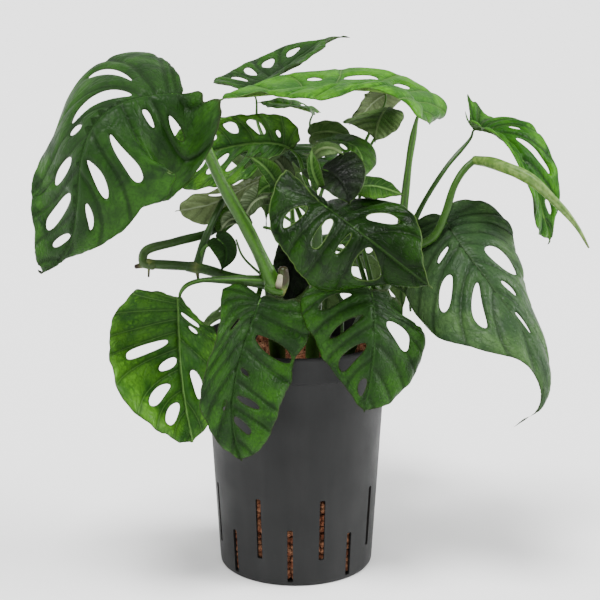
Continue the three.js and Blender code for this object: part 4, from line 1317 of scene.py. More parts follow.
class LeafyStem:
    """One stem with the stalks of its leaves."""

    def __init__(self, name: str, plan: StemPlan, blades: dict[str, LeafBlade]) -> None:
        """Keeps what the stem is made from.

        Args:
            name: what the stem is called.
            plan: its limbs and stalks.
            blades: the blades that its stalks run to.
        """
        self.name = name
        self.plan = plan
        self.blades = blades

    def stalk_points(self, leaf: str, stalk: Stalk) -> list[Point]:
        """A stalk's points, running on under the leaf's midrib.

        Args:
            leaf: the leaf's name.
            stalk: the stalk.

        Returns:
            The points.
        """
        blade, (before, under) = self.blades[leaf], stalk.reach
        ahead, sunk = STALK_END
        at, forward, _, out = (axis[0] for axis in blade.axes(np.zeros(1)))
        further, _, _, further_out = (axis[0] for axis in blade.axes(np.full(1, ahead)))
        turn = at - forward * before - out * under
        joint = at - out * stalk.radii[-1]
        return [*stalk.points, tuple(turn), tuple(joint), tuple(further - further_out * sunk)]

    def build(self, material: bpy.types.Material) -> bpy.types.Object:
        """Makes the stem and dresses it.

        Args:
            material: the stems' material.

        Returns:
            The piece.
        """
        skin = Skin()
        for limb in self.plan.limbs:
            thin = limb.radii[0] < 2
            sweep = Sweep(sides=8 if thin else 16, flare=0.1)
            sweep.add_to(skin, limb.points, limb.radii, limb.tints)
        for leaf, stalk in self.plan.stalks.items():
            sweep = Sweep(sides=18, channel=0.18, flare=0.25)
            radii = (*stalk.radii, stalk.radii[-1], 0.5)
            sweep.add_to(skin, self.stalk_points(leaf, stalk), radii, stalk.tints)
        return dress(skin.build(f"shoot_{self.name}", [material]), "stem", f"stem_{self.name}")


# ---- this plant ----
LEAVES = {
    "left_large": LeafShape(
        rib=((-81, -93, 391), (-192, -135, 396), (-121, -140, 295), (-184, -97, 261)),
        up=((-1, -0.99, 0.5), (-0.24, -1, -0.55)), wide=(83, 94), lobe=(16, 4), fold=(-14, -21),
        bend=(-48, -35), broad=(0.31, 0.16), point=(1.36, 0.07), lift=(38, -1), tone=Tone.DARK, uneven=1.1,
        dents=((1, 0.475, -3, 6), (1, 0.53, 2.5, 7), (0, 0.49, -20, 26), (0, 0.665, 4, 9),
               (0, 0.715, -2, 5), (0, 0.075, -4, 6)),
        left=((0.241, 0.021, 0.2, 0.53, -0.054, -0.1), (0.386, 0.017, 0.11, 0.27, -0.034, -0.2),
              (0.622, 0.026, 0.18, 0.67, 0.069, 0.35), (0.722, 0.017, 0.08, 0.5, 0.049, 0.25),
              (0.813, 0.0135, 0.19, 0.54, 0.034, 0)),
        right=((0.394, 0.0125, 0.22, 0.79, 0.022, 0.45), (0.496, 0.046, 0.04, 0.37, 0.113, 0.35),
               (0.607, 0.013, 0.15, 0.3, 0.005, 0.1), (0.712, 0.027, 0.16, 0.47, 0.03, 0.1),
               (0.825, 0.029, 0.12, 0.64, 0.079, 0.15), (0.896, 0.0145, 0.05, 0.41, 0.03, 0.1)),
    ),
    "top": LeafShape(
        rib=((-35, 57, 380.7), (-17, 110, 382.7), (8, 145, 405.7), (39, 156, 416.7)),
        up=((-0.3, 0, 0.95), (-0.4, 0, 0.9)), wide=(38, 53), lobe=(22, 23), fold=(26, 11),
        broad=(0.28, 0.3), point=(0.4, 0.8), lift=(2, -4), tone=Tone.DARK,
        left=((0.42, 0.025, 0.3, 0.72, 0.02), (0.54, 0.03, 0.35, 0.8, 0.02),
              (0.67, 0.035, 0.35, 0.7, 0.03), (0.8, 0.03, 0.35, 0.7, 0.03)),
        right=((0.36, 0.025, 0.3, 0.7, 0.02), (0.52, 0.03, 0.3, 0.75, 0.02), (0.68, 0.03, 0.3, 0.7, 0.02)),
    ),
    "top_bright": LeafShape(
        rib=((94, -42, 370), (83, -36, 400), (18, -5, 384), (-56, -21, 380)),
        up=((0.8, -0.2, 0.5), (0, 0, 1)), wide=(54, 64), lobe=(7, 7), fold=(21, 8), bend=(-43, 0),
        broad=(0.43, 0.23), point=(1.2, 0.2), lift=(3, -4), tone=Tone.BRIGHT,
        left=((0.5, 0.025, 0.3, 0.6, 0), (0.66, 0.025, 0.3, 0.6, 0)),
        right=((0.42, 0.025, 0.3, 0.6, -0.03), (0.56, 0.055, 0.4, 0.66, -0.05),
               (0.7, 0.02, 0.45, 0.68, -0.02)),
    ),
    "back_thin": LeafShape(
        rib=((14, 64, 362), (0, 68, 366), (-16, 74, 368), (-32, 79, 367)),
        up=((-0.1, 0.1, 1), (-0.1, -0.3, 1)), wide=(40, 27), lobe=(4, 3), fold=(11, 1), bend=(-8, -12),
        broad=(0.24, 0.3), point=(1, 0.9), lift=(-4, -1), tone=Tone.BRIGHT,
        left=((0.45, 0.03, 0.3, 0.7, 0),),
        right=((0.5, 0.03, 0.28, 0.7, 0),),
    ),
    "back_left": LeafShape(
        rib=((-5, -26, 343), (-22, -9, 351), (-66, 3, 339), (-111, 9, 320)),
        up=((-0.3, -0.7, 0.6), (-0.2, -0.9, 0.5)), wide=(43, 25), fold=(12, 23), bend=(15, 21),
        broad=(0.41, 0.52), point=(0.5, 0.5), lift=(11, -5), tone=Tone.MID,
        left=((0.44, 0.03, 0.22, 0.6, 0.02), (0.57, 0.035, 0.16, 0.6, 0.03),
              (0.69, 0.03, 0.14, 0.6, 0.03), (0.8, 0.025, 0.2, 0.6, 0.03)),
        right=((0.29, 0.02, 0.2, 0.42, -0.01), (0.42, 0.045, 0.24, 0.76, -0.04),
               (0.56, 0.034, 0.36, 0.76, -0.04), (0.7, 0.03, 0.3, 0.7, -0.02)),
    ),
    "left_silver": LeafShape(
        rib=((-29, 16, 314), (-51, 11, 305), (-54, -8, 297), (-91, -7, 292)),
        up=((-0.3, 0.5, 0.8), (0, 0.95, 0.3)), wide=(23, 24), fold=(-22, 3), broad=(0.36, 0.29),
        point=(0, 0), lift=(0, 2), tone=Tone.SILVER,
        left=((0.7, 0.035, 0.3, 0.75, 0.04),),
    ),
    "centre": LeafShape(
        rib=((17, -108, 316), (45, -108, 295), (67, -102, 275), (97, -112, 254)),
        up=((0.1, -0.1, 1), (-0.3, -1, 0)), wide=(47, 54), lobe=(22, 36), fold=(-5, -24), bend=(-22, -50),
        broad=(0.36, 0.28), point=(0.9, 0.8), lift=(5, 14), tone=Tone.DEEP, drip=0.4,
        left=((0.65, 0.038, 0.32, 0.7, 0.08),),
        right=((0.31, 0.028, 0.36, 0.8, 0.08), (0.45, 0.034, 0.12, 0.6, 0.05),
               (0.58, 0.014, 0.08, 0.4, 0), (0.745, 0.055, 0.08, 0.76, 0.06)),
    ),
    "front_right": LeafShape(
        rib=((57, -66, 241), (60, -103, 227), (60, -85, 196), (51, -102, 158)),
        up=((0.4, -0.6, 0.7), (0, -1, 0.3)), wide=(52, 54), fold=(-19, -10), bend=(-14, -21),
        broad=(0.34, 0.17), point=(0.4, 0.5), lift=(6, 3), tone=Tone.DARK, drip=0.3,
        left=((0.58, 0.06, 0.2, 0.68, 0.06),),
        right=((0.37, 0.04, 0.28, 0.72, 0.1), (0.56, 0.024, 0.16, 0.72, 0.09),
               (0.74, 0.04, 0.14, 0.82, 0.08), (0.9, 0.03, 0.12, 0.6, 0.03)),
    ),
    "front_left": LeafShape(
        rib=((-89, -66, 235), (-89, -51, 199), (-87, -98, 178), (-78, -86, 128)),
        up=((-1, -0.83, 0.27), (0.54, -1, 0.02)), wide=(38, 55), lobe=(4, 2), fold=(-2, 32),
        bend=(13, 11), broad=(0.5, 0.48), point=(0.42, 0.57), lift=(0, 1), tone=Tone.MID, drip=0.05,
        left=((0.358, 0.03, 0.08, 0.55, 0.047, 0), (0.444, 0.018, 0.24, 0.44, 0.022, 0),
              (0.747, 0.047, 0.17, 0.46, 0.06, 0.2)),
        right=((0.531, 0.03, 0.14, 0.73, -0.02, 0.1), (0.662, 0.027, 0.05, 0.31, 0.002, -0.2),
               (0.743, 0.023, 0.24, 0.76, -0.02, 0.1), (0.838, 0.025, 0.2, 0.79, -0.01, 0.1)),
    ),
    "front_middle": LeafShape(
        rib=((-26, -71, 237), (-37, -103, 210), (-57, -105, 166), (-41, -99, 119)),
        up=((0.47, 0.66, 1), (0.12, -1, -0.16)), wide=(44, 30), lobe=(4, 3), fold=(13, 1), bend=(8, 1),
        broad=(0.23, 0.28), point=(-0.13, 0.3), lift=(4, -2), tone=Tone.DARK, drip=0.3,
        left=((0.461, 0.041, 0.13, 0.92, -0.056, 0.1), (0.674, 0.01, 0.06, 0.24, 0, 0),
              (0.773, 0.014, 0.09, 0.6, -0.02, 0.1), (0.872, 0.018, 0.04, 0.55, 0.01, 0)),
        right=((0.423, 0.013, 0.36, 0.56, 0.04, 0), (0.796, 0.014, 0.25, 0.38, 0.01, 0)),
    ),
    "right_large": LeafShape(
        rib=((116, -7, 286), (134, -66, 252), (218, -80, 177), (171, -109, 155)),
        up=((-0.48, -1, 0.92), (1, -0.46, 0.98)), wide=(64, 65), lobe=(8, 8), fold=(-12, 8),
        bend=(-59, -75), broad=(0.19, 0.27), point=(1.02, 1.41), lift=(8, 6), tone=Tone.GREYISH,
        uneven=0.5,
        left=((0.502, 0.046, 0.22, 0.69, 0.052, -0.35), (0.629, 0.018, 0.2, 0.4, 0.029, 0),
              (0.753, 0.02, 0.1, 0.28, 0.04, 0)),
        right=((0.397, 0.011, 0.13, 0.32, 0.022, 0), (0.506, 0.025, 0.3, 0.69, 0.034, 0),
               (0.622, 0.025, 0.14, 0.64, 0.069, 0.4)),
    ),
    "right_bright": LeafShape(
        rib=((140, 14, 354), (176, -1, 353), (182, -18, 320), (206, 32, 260)),
        up=((0, 0, 1), (0.7, -0.7, -0.2)), wide=(51, 34), lobe=(10, 3), fold=(17, 13), bend=(-30, 10),
        broad=(0.21, 0.39), point=(0.7, 0.9), lift=(14, 5), tone=Tone.FRESH,
        left=((0.42, 0.014, 0.3, 0.48, 0.03), (0.6, 0.04, 0.16, 0.68, 0.2), (0.85, 0.03, 0.25, 0.5, 0.04)),
        right=((0.4, 0.02, 0.3, 0.7, 0), (0.56, 0.02, 0.3, 0.7, 0)),
    ),
    "upper_right": LeafShape(
        rib=((72, 18, 370), (67, 6, 367), (62, -6, 360), (61, -16, 348)),
        up=((-0.1, -0.4, 0.9), (0.1, -0.9, 0.4)), wide=(17, 36), fold=(-20, -15), bend=(0, -22),
        broad=(0.33, 0.2), point=(0.3, 1), lift=(0, -4), tone=Tone.STRIPED,
        right=((0.5, 0.03, 0.3, 0.7, 0),),
    ),
    "upper_pale": LeafShape(
        rib=((71, 39, 379), (56, 51, 370), (55, 35, 361), (44, 43, 354)),
        up=((0, 0.6, 0.8), (0, 0.7, 0.7)), wide=(20, 21), fold=(-20, 0), broad=(0.3, 0.2),
        point=(0.6, 0.7), lift=(-1, 1), tone=Tone.SILVER,
    ),
    "upper_dark": LeafShape(
        rib=((12, 2, 350), (23, -2, 355), (33, -3, 353), (44, -3, 347)),
        up=((0, -0.8, 0.6), (0, -0.8, 0.6)), wide=(11, 11), fold=(0, 6), bend=(-12, -12),
        broad=(0.36, 0.32), point=(0.5, 0.5), tone=Tone.STRIPED,
    ),
    "curled": LeafShape(
        rib=((19, -38, 350), (38, -37, 351), (55, -30, 349), (49, -49, 323)),
        up=((0.2, -0.2, 1), (0.5, -0.8, 0.4)), wide=(29, 22), fold=(-13, 17), bend=(-18, -11),
        broad=(0.3, 0.29), point=(0.8, 0.4), lift=(-1, 1), tone=Tone.MID,
        right=((0.5, 0.04, 0.3, 0.7, 0),),
    ),
    "inner_dark": LeafShape(
        rib=((20, -67, 333), (28, -81, 333), (36, -88, 327), (39, -90, 312)),
        up=((0, -0.8, 0.6), (0, -1, 0.1)), wide=(24, 22), lobe=(5, 6), fold=(0, 34), bend=(-10, 0),
        broad=(0.28, 0.28), point=(0.3, 0.3), tone=Tone.SHADED,
    ),
    "inner_light": LeafShape(
        rib=((47, -61, 319), (58, -61, 322), (68, -61, 317), (80, -64, 313)),
        up=((-0.1, -0.6, 0.8), (0, -0.8, 0.6)), wide=(10, 14), fold=(-5, 8), broad=(0.28, 0.25),
        point=(0.7, 0.9), lift=(-4, 4), tone=Tone.MID,
    ),
    "inner_young": LeafShape(
        rib=((-9, -50, 314), (-15, -58, 322), (-22, -62, 322), (-29, -62, 312)),
        up=((0, -0.6, 0.8), (-0.3, -0.8, 0.4)), wide=(12, 13), lobe=(5, 5), fold=(10, 10),
        broad=(0.28, 0.28), tone=Tone.MID,
    ),
    "inner_curl": LeafShape(
        rib=((-21, -46, 309), (-29, -49, 310), (-37, -52, 303), (-39, -50, 289)),
        up=((-0.4, -0.8, 0.5), (-0.5, -0.9, 0)), wide=(9, 10), fold=(20, 20), broad=(0.34, 0.34),
        point=(0.7, 0.7), tone=Tone.SILVER,
    ),
    "inner_left": LeafShape(
        rib=((-44, -14, 290), (-51, -18, 291), (-58, -21, 284), (-60, -20, 272)),
        up=((-0.2, -0.8, 0.6), (-0.2, -1, 0)), wide=(8, 9), fold=(16, 16), broad=(0.34, 0.34),
        point=(0.8, 0.8), tone=Tone.MID,
    ),
    "inner_pale": LeafShape(
        rib=((-6, -21, 319), (-9, -20, 326), (-13, -18, 332), (-18, -16, 334)),
        up=((-0.2, -0.9, 0.3), (-0.2, -0.9, 0.3)), wide=(9, 8), lobe=(2, 2), fold=(8, 8),
        broad=(0.45, 0.45), point=(0.3, 0.3), tone=Tone.SILVER,
    ),
    "inner_low": LeafShape(
        rib=((2, 22, 262), (-1, 24, 246), (-4, 26, 228), (-8, 24, 206)), up=((0, -1, 0.2), (0, -1, 0)),
        wide=(19, 17), lobe=(4, 4), fold=(8, 8), bend=(-8, -8), broad=(0.36, 0.36), point=(0.8, 0.8),
        tone=Tone.SHADED,
    ),
    "left_small": LeafShape(
        rib=((-60, -45, 277), (-53, -50, 274), (-49, -52, 267), (-57, -50, 252)),
        up=((0.4, -0.8, 0.4), (0.2, -1, 0.2)), wide=(9, 12), fold=(10, 10), broad=(0.28, 0.28),
        tone=Tone.DARK,
    ),
    "back_middle": LeafShape(
        rib=((16, 74, 232), (26, 112, 229), (32, 130, 184), (16, 118, 90)), up=((0, 0.7, 0.7), (0, 1, 0)),
        wide=(48, 50), lobe=(20, 20), fold=(6, 6), bend=(-14, -14), broad=(0.28, 0.28), tone=Tone.DARK,
        left=((0.34, 0.03, 0.25, 0.7, 0.02), (0.5, 0.035, 0.25, 0.78, 0.03), (0.66, 0.03, 0.25, 0.7, 0.03)),
        right=((0.3, 0.03, 0.25, 0.7, 0.02), (0.45, 0.035, 0.25, 0.78, 0.03),
               (0.6, 0.03, 0.25, 0.75, 0.03)),
    ),
    "back_low_left": LeafShape(
        rib=((-33, 69, 202), (-52, 96, 190), (-66, 110, 150), (-68, 112, 86)),
        up=((-0.4, 0.6, 0.7), (-0.6, 0.8, 0.1)), wide=(36, 40), lobe=(14, 14), fold=(6, 6),
        bend=(-14, -14), broad=(0.28, 0.28), tone=Tone.MID,
        left=((0.36, 0.03, 0.25, 0.75, 0.02), (0.52, 0.035, 0.25, 0.75, 0.03),
              (0.68, 0.03, 0.25, 0.7, 0.03)),
        right=((0.3, 0.03, 0.25, 0.7, 0.02), (0.46, 0.035, 0.25, 0.78, 0.03),
               (0.62, 0.03, 0.25, 0.7, 0.03)),
    ),
    "back_low_right": LeafShape(
        rib=((54, 80, 252), (74, 116, 258), (92, 150, 236), (96, 160, 170)),
        up=((0.2, 0.5, 0.85), (0.3, 0.9, 0.2)), wide=(46, 42), lobe=(20, 20), fold=(6, 6),
        bend=(-14, -14), broad=(0.28, 0.28), tone=Tone.DARK,
        left=((0.34, 0.03, 0.25, 0.7, 0.02), (0.5, 0.035, 0.25, 0.78, 0.03), (0.66, 0.03, 0.25, 0.7, 0.03)),
        right=((0.32, 0.03, 0.25, 0.7, 0.02), (0.48, 0.035, 0.25, 0.78, 0.03),
               (0.63, 0.03, 0.25, 0.7, 0.03)),
    ),
    "back_high": LeafShape(
        rib=((-4, 90, 318), (-14, 138, 336), (-24, 184, 318), (-28, 198, 246)),
        up=((0, 0.3, 0.95), (-0.2, 0.95, 0.2)), wide=(46, 46), lobe=(20, 20), fold=(6, 6),
        bend=(-14, -14), broad=(0.28, 0.28), tone=Tone.DARK,
        left=((0.34, 0.03, 0.25, 0.75, 0.02), (0.5, 0.035, 0.25, 0.75, 0.03),
              (0.66, 0.03, 0.25, 0.7, 0.03)),
        right=((0.3, 0.03, 0.25, 0.7, 0.02), (0.45, 0.035, 0.25, 0.78, 0.03),
               (0.62, 0.03, 0.25, 0.7, 0.03)),
    ),
}

# Small young leaves that are still unfolding among the stalks.
YOUNG_LEAVES = {
    "fold": LeafShape(
        rib=((17, -97, 325), (12, -102, 334), (10, -103, 343), (12, -99, 353)),
        up=((-0.6, -0.8, 0.2), (-0.5, -0.8, 0.3)), wide=(5, 6), lobe=(2, 2), fold=(40, -30),
        bend=(60, 30), broad=(0.4, 0.4), point=(0.8, 0.8), tone=Tone.MID,
    ),
    "curled_rim": LeafShape(
        rib=((13, -89, 346), (18, -93, 354), (27, -94, 354), (34, -89, 347)),
        up=((0, -0.8, 0.6), (0, -0.8, 0.6)), wide=(5, 6), lobe=(2, 2), fold=(40, -50), bend=(40, 60),
        broad=(0.4, 0.4), point=(0.6, 0.6), tone=Tone.STRIPED,
    ),
    "left_curl": LeafShape(
        rib=((-38, -52, 289), (-44, -57, 297), (-51, -58, 295), (-56, -54, 285)),
        up=((-0.3, -0.8, 0.5), (-0.4, -0.9, 0)), wide=(7, 8), fold=(28, 25), bend=(30, 20),
        broad=(0.34, 0.34), point=(0.8, 0.8), tone=Tone.SILVER,
    ),
    "upper_curl": LeafShape(
        rib=((-15, -60, 322), (-19, -69, 332), (-27, -70, 340), (-35, -66, 342)),
        up=((-0.2, -0.8, 0.6), (-0.3, -0.7, 0.6)), wide=(7, 8), fold=(20, 15), bend=(20, 20),
        broad=(0.34, 0.34), point=(0.9, 0.9), tone=Tone.MID,
    ),
}

STEMS = {
    "left": StemPlan(
        limbs=(
            Limb(((-12, -20, 150), (-15, -40, 195), (-17, -58, 232), (-17, -63, 247)), (6, 6.5)),
            Limb(((-13, -63, 238), (-9, -66, 248), (-9.5, -67, 257)), (4.4, 3.8), (1.2, 2.8, 2.9)),
            Limb(((-13, -68.5, 245), (-12, -69.5, 249), (-11.5, -70, 253)), (2.5, 2.1), (3.3, 3.8, 3.8)),
            Limb(((-21, -67, 244), (-16, -68.5, 241), (-11, -68, 240)), (3.4, 2.6), (0.3, 0.2)),
            Limb(((-22, -58, 244), (-48, -44, 246), (-76, -40, 253), (-112, -45, 257)), (4.2, 3.6),
                 (0.9, 1.1)),
            Limb(((-83, -40.5, 253.8), (-76, -40, 253), (-70, -41, 251.8)), (3.6, 4.9, 3.6), (1, 1.5, 1)),
            Limb(((-117, -45.5, 257.5), (-112, -45, 257), (-107, -44.5, 256.8)), (3.2, 4.2, 3.4),
                 (1.2, 1.6, 1.1)),
            Limb(((-76, -40, 253), (-71, -33, 270), (-63, -22, 288), (-57, -13, 300)), (3.6, 3, 2.4),
                 (1.0, 0.9)),
            Limb(((-109, -45, 256), (-116, -46, 258), (-115, -43, 266), (-92, -34, 272), (-66, -18, 277),
                  (-48, 2, 290)),
                 (3.6, 3.1), (1.2, 0.9)),
            Limb(((-112, -45, 257), (-122, -46, 255)), (3, 1.8), (1.6, 2.4, 3)),
            Limb(((-112, -45, 256), (-112.5, -45, 247)), (1.1, 0.8), (2, 3)),
            Limb(((-76, -40, 252), (-75, -40, 244)), (1.8, 1), (2, 3)),
            Limb(((-20, -58, 246), (-40, -52, 264), (-45, -52, 277)), (1.3, 0.8)),
        ),
        stalks={
            "left_large": Stalk(((-17, -64, 246), (-33, -67, 282), (-54, -67, 322), (-69, -70, 356)),
                                (5.5, 5.1, 4.9, 4.6, 4.2), (4, 14), (0.3, 0.15, 0.3)),
            "front_left": Stalk(((-20, -60, 247), (-49, -64, 248.5), (-72, -66, 248.5), (-82, -67, 245)),
                                (4.2, 4, 3.2, 1.8), (4, 3), (0.8, 0.6, 0.1)),
            "front_middle": Stalk(((-17, -56, 236), (-24, -50, 244)), (3, 2), (2, 8)),
            "left_silver": Stalk(((-50, 0, 290), (-38, 14, 298)), (2.4, 1.6), (2, 6)),
            "inner_left": Stalk(((-56, -8, 280), (-46, -8, 283)), (2, 1.3), (0, 4)),
            "left_small": Stalk(((-76, -40, 253), (-70, -38, 268)), (2.4, 1.4), (2, 5)),
        },
    ),
    "centre": StemPlan(
        limbs=(
            Limb(((12, -8, 150), (14, -14, 200), (16, -30, 250), (15, -38, 300)), (6, 4.5)),
            Limb(((15, -28, 245), (34, -34, 228), (36, -34, 205), (34, -30, 160)), (1.6, 1.3)),
            Limb(((15, -36, 292), (4, -44, 284), (-12, -50, 284), (-24, -54, 287)), (1.6, 1.2)),
        ),
        stalks={
            "centre": Stalk(((15, -36, 290), (16, -62, 300), (15, -88, 306)), (3, 2), (4, 10)),
            "back_left": Stalk(((15, -38, 300), (7, -34, 322)), (2.4, 1.7), (6, 8)),
            "curled": Stalk(((15, -38, 300), (14, -36, 320)), (2.6, 1.7), (6, 8)),
            "inner_dark": Stalk(((15, -38, 296), (21, -50, 318)), (2.2, 1.5), (2, 8)),
            "inner_young": Stalk(((14, -34, 290), (2, -42, 302)), (2, 1.4), (3, 5)),
            "inner_pale": Stalk(((15, -32, 284), (4, -26, 304)), (1.8, 1.1), (2, 4)),
            "inner_curl": Stalk(((15, -34, 280), (-4, -42, 290), (-16, -44, 300)), (1.8, 1.2), (1, 4)),
            "inner_light": Stalk(((15, -34, 280), (32, -46, 304)), (2, 1), (4, 6)),
            "top": Stalk(((15, -24, 262), (-12, 22, 318), (-31, 48, 354)), (2.6, 1.7), (0, 10)),
            "upper_dark": Stalk(((15, -30, 254), (14, -10, 300), (12, 4, 330)), (2.2, 1.4), (0, 8)),
            "back_thin": Stalk(((15, -22, 262), (14, 20, 300), (14, 58, 335)), (2.4, 1.6), (0, 10)),
        },
    ),
    "right": StemPlan(
        limbs=(
            Limb(((34, 6, 150), (52, 0, 200), (74, -10, 240), (82, -18, 272)), (5.5, 4.5)),
            Limb(((70, -8, 236), (88, -18, 226), (90, -20, 214)), (1.4, 1)),
            Limb(((84, -20, 262), (106, -26, 274), (115, -24, 292), (122, -20, 313), (130, -15, 325),
                  (138, -12, 332)),
                 (3.4, 2.6), (0.4, 0.1, 0)),
        ),
        stalks={
            "top_bright": Stalk(((81, -18, 266), (84, -26, 308), (87, -33, 342)), (4.4, 3.7, 3.1, 2.7),
                                (0, 3)),
            "right_bright": Stalk(((84, -16, 264), (98, -9, 295), (118, 1, 325)), (2.6, 2.1, 1.9), (2, 8),
                                  (0.9, 0.9)),
            "right_large": Stalk(((78, -12, 256), (100, -3, 269)), (3, 2), (6, 8)),
            "front_right": Stalk(((66, -8, 230), (58, -34, 240)), (2.8, 1.9), (6, 8)),
            "upper_right": Stalk(((62, -6, 222), (50, 8, 285), (58, 24, 335)), (2.6, 1.4), (0, 9)),
            "upper_pale": Stalk(((60, -4, 216), (44, 20, 280), (54, 38, 335)), (2.4, 1.6), (0, 9)),
        },
    ),
    "back": StemPlan(
        limbs=(
            Limb(((-6, 34, 150), (-8, 46, 195), (-6, 52, 235), (-2, 56, 262)), (5.5, 4.2)),
        ),
        stalks={
            "inner_low": Stalk(((-4, 52, 250), (2, 40, 268)), (2.4, 1.6), (4, 4)),
            "back_middle": Stalk(((-7, 48, 208), (6, 60, 220)), (2.8, 1.9), (4, 6)),
            "back_low_left": Stalk(((-8, 44, 186), (-20, 56, 194)), (2.8, 1.9), (4, 4)),
            "back_low_right": Stalk(((-6, 50, 222), (17, 54, 250)), (2.8, 1.9), (10, 8)),
            "back_high": Stalk(((-2, 56, 258), (-4, 72, 292)), (2.8, 1.9), (6, 8)),
        },
    ),
}


@dataclass(frozen=True)
class RolledLeaf:
    """The youngest leaf, still rolled up: its middle line, its radii, and those along its seam."""

    points: tuple[Point, ...] = (
        (138.5, -12, 332), (149, -24, 332), (160, -37, 329.5), (169, -45, 326.5), (179, -53, 321),
        (191, -58, 310), (202, -61, 299), (211, -63, 287.5), (219, -65, 273.5))
    radii: tuple[float, ...] = (3.2, 3.9, 3.9, 4, 3.5, 2.8, 2.2, 1.4, 0.6)
    seam: tuple[float, ...] = (0.5, 1.7, 2.2, 1.9, 1.5, 1.2, 0.8, 0.3)

    def material(self) -> bpy.types.Material:
        """Pale yellow-green, greener along its veins and browning towards the tip.

        Returns:
            The material.
        """
        nodes = Nodes("rolled_leaf_skin")
        streak = nodes.ramp(nodes.noise(260, 4), 0.4, 0.65)
        colour = nodes.mix(streak, srgb("#588327"), srgb("#7fa446"))
        colour = nodes.mix(nodes.ramp(nodes.attribute("tint"), 0.8, 1.0, 0, 0.8), colour, srgb("#5c6b2f"))
        return nodes.finish(colour, 0.45, nodes.noise(500, 3), 0.0003)

    def build(self) -> bpy.types.Object:
        """Makes the rolled leaf and dresses it.

        Returns:
            The piece.
        """
        skin = Skin()
        sweep = Sweep(sides=28, spacing=1.4, flare=0, overlap=0.28, twist=2.2)
        sweep.add_to(skin, self.points, self.radii, (0, 0, 0, 0.2, 0.7, 1))
        edge = [(x - 0.4, y - 2.4, z + 2) for x, y, z in self.points[1:8]]
        Sweep(sides=10, spacing=2, flare=0).add_to(skin, edge, self.seam, (0, 0.1, 0.3))
        piece = skin.build("young_leaf", [self.material()])
        return dress(piece, "leaf_young", "leaf_rolled")


# ---- pot and granules ----
@dataclass(frozen=True)
class Slots:
    """The slots round the pot.

    count, width: how many there are, and how wide they are.
    phase: the first one's direction, in degrees.
    spans: foot and top of four neighbouring ones, which repeat round the pot.
    corner: the radius of their corners.
    depths: from where to where the bars reach that cut them.
    """

    count: int = 16
    width: float = 4.4
    phase: float = 18.4
    spans: tuple[Pair, ...] = ((21.5, 72), (3.5, 48), (21.5, 72), (3.5, 40))
    corner: float = 1.1
    depths: Pair = (45, 85)

    def each(self) -> list[tuple[float, float, float]]:
        """The direction in radians, foot and top of every slot."""
        turns = [math.radians(self.phase - 360 / self.count * k - 90) for k in range(self.count)]
        return [(turn, *self.spans[k % len(self.spans)]) for k, turn in enumerate(turns)]


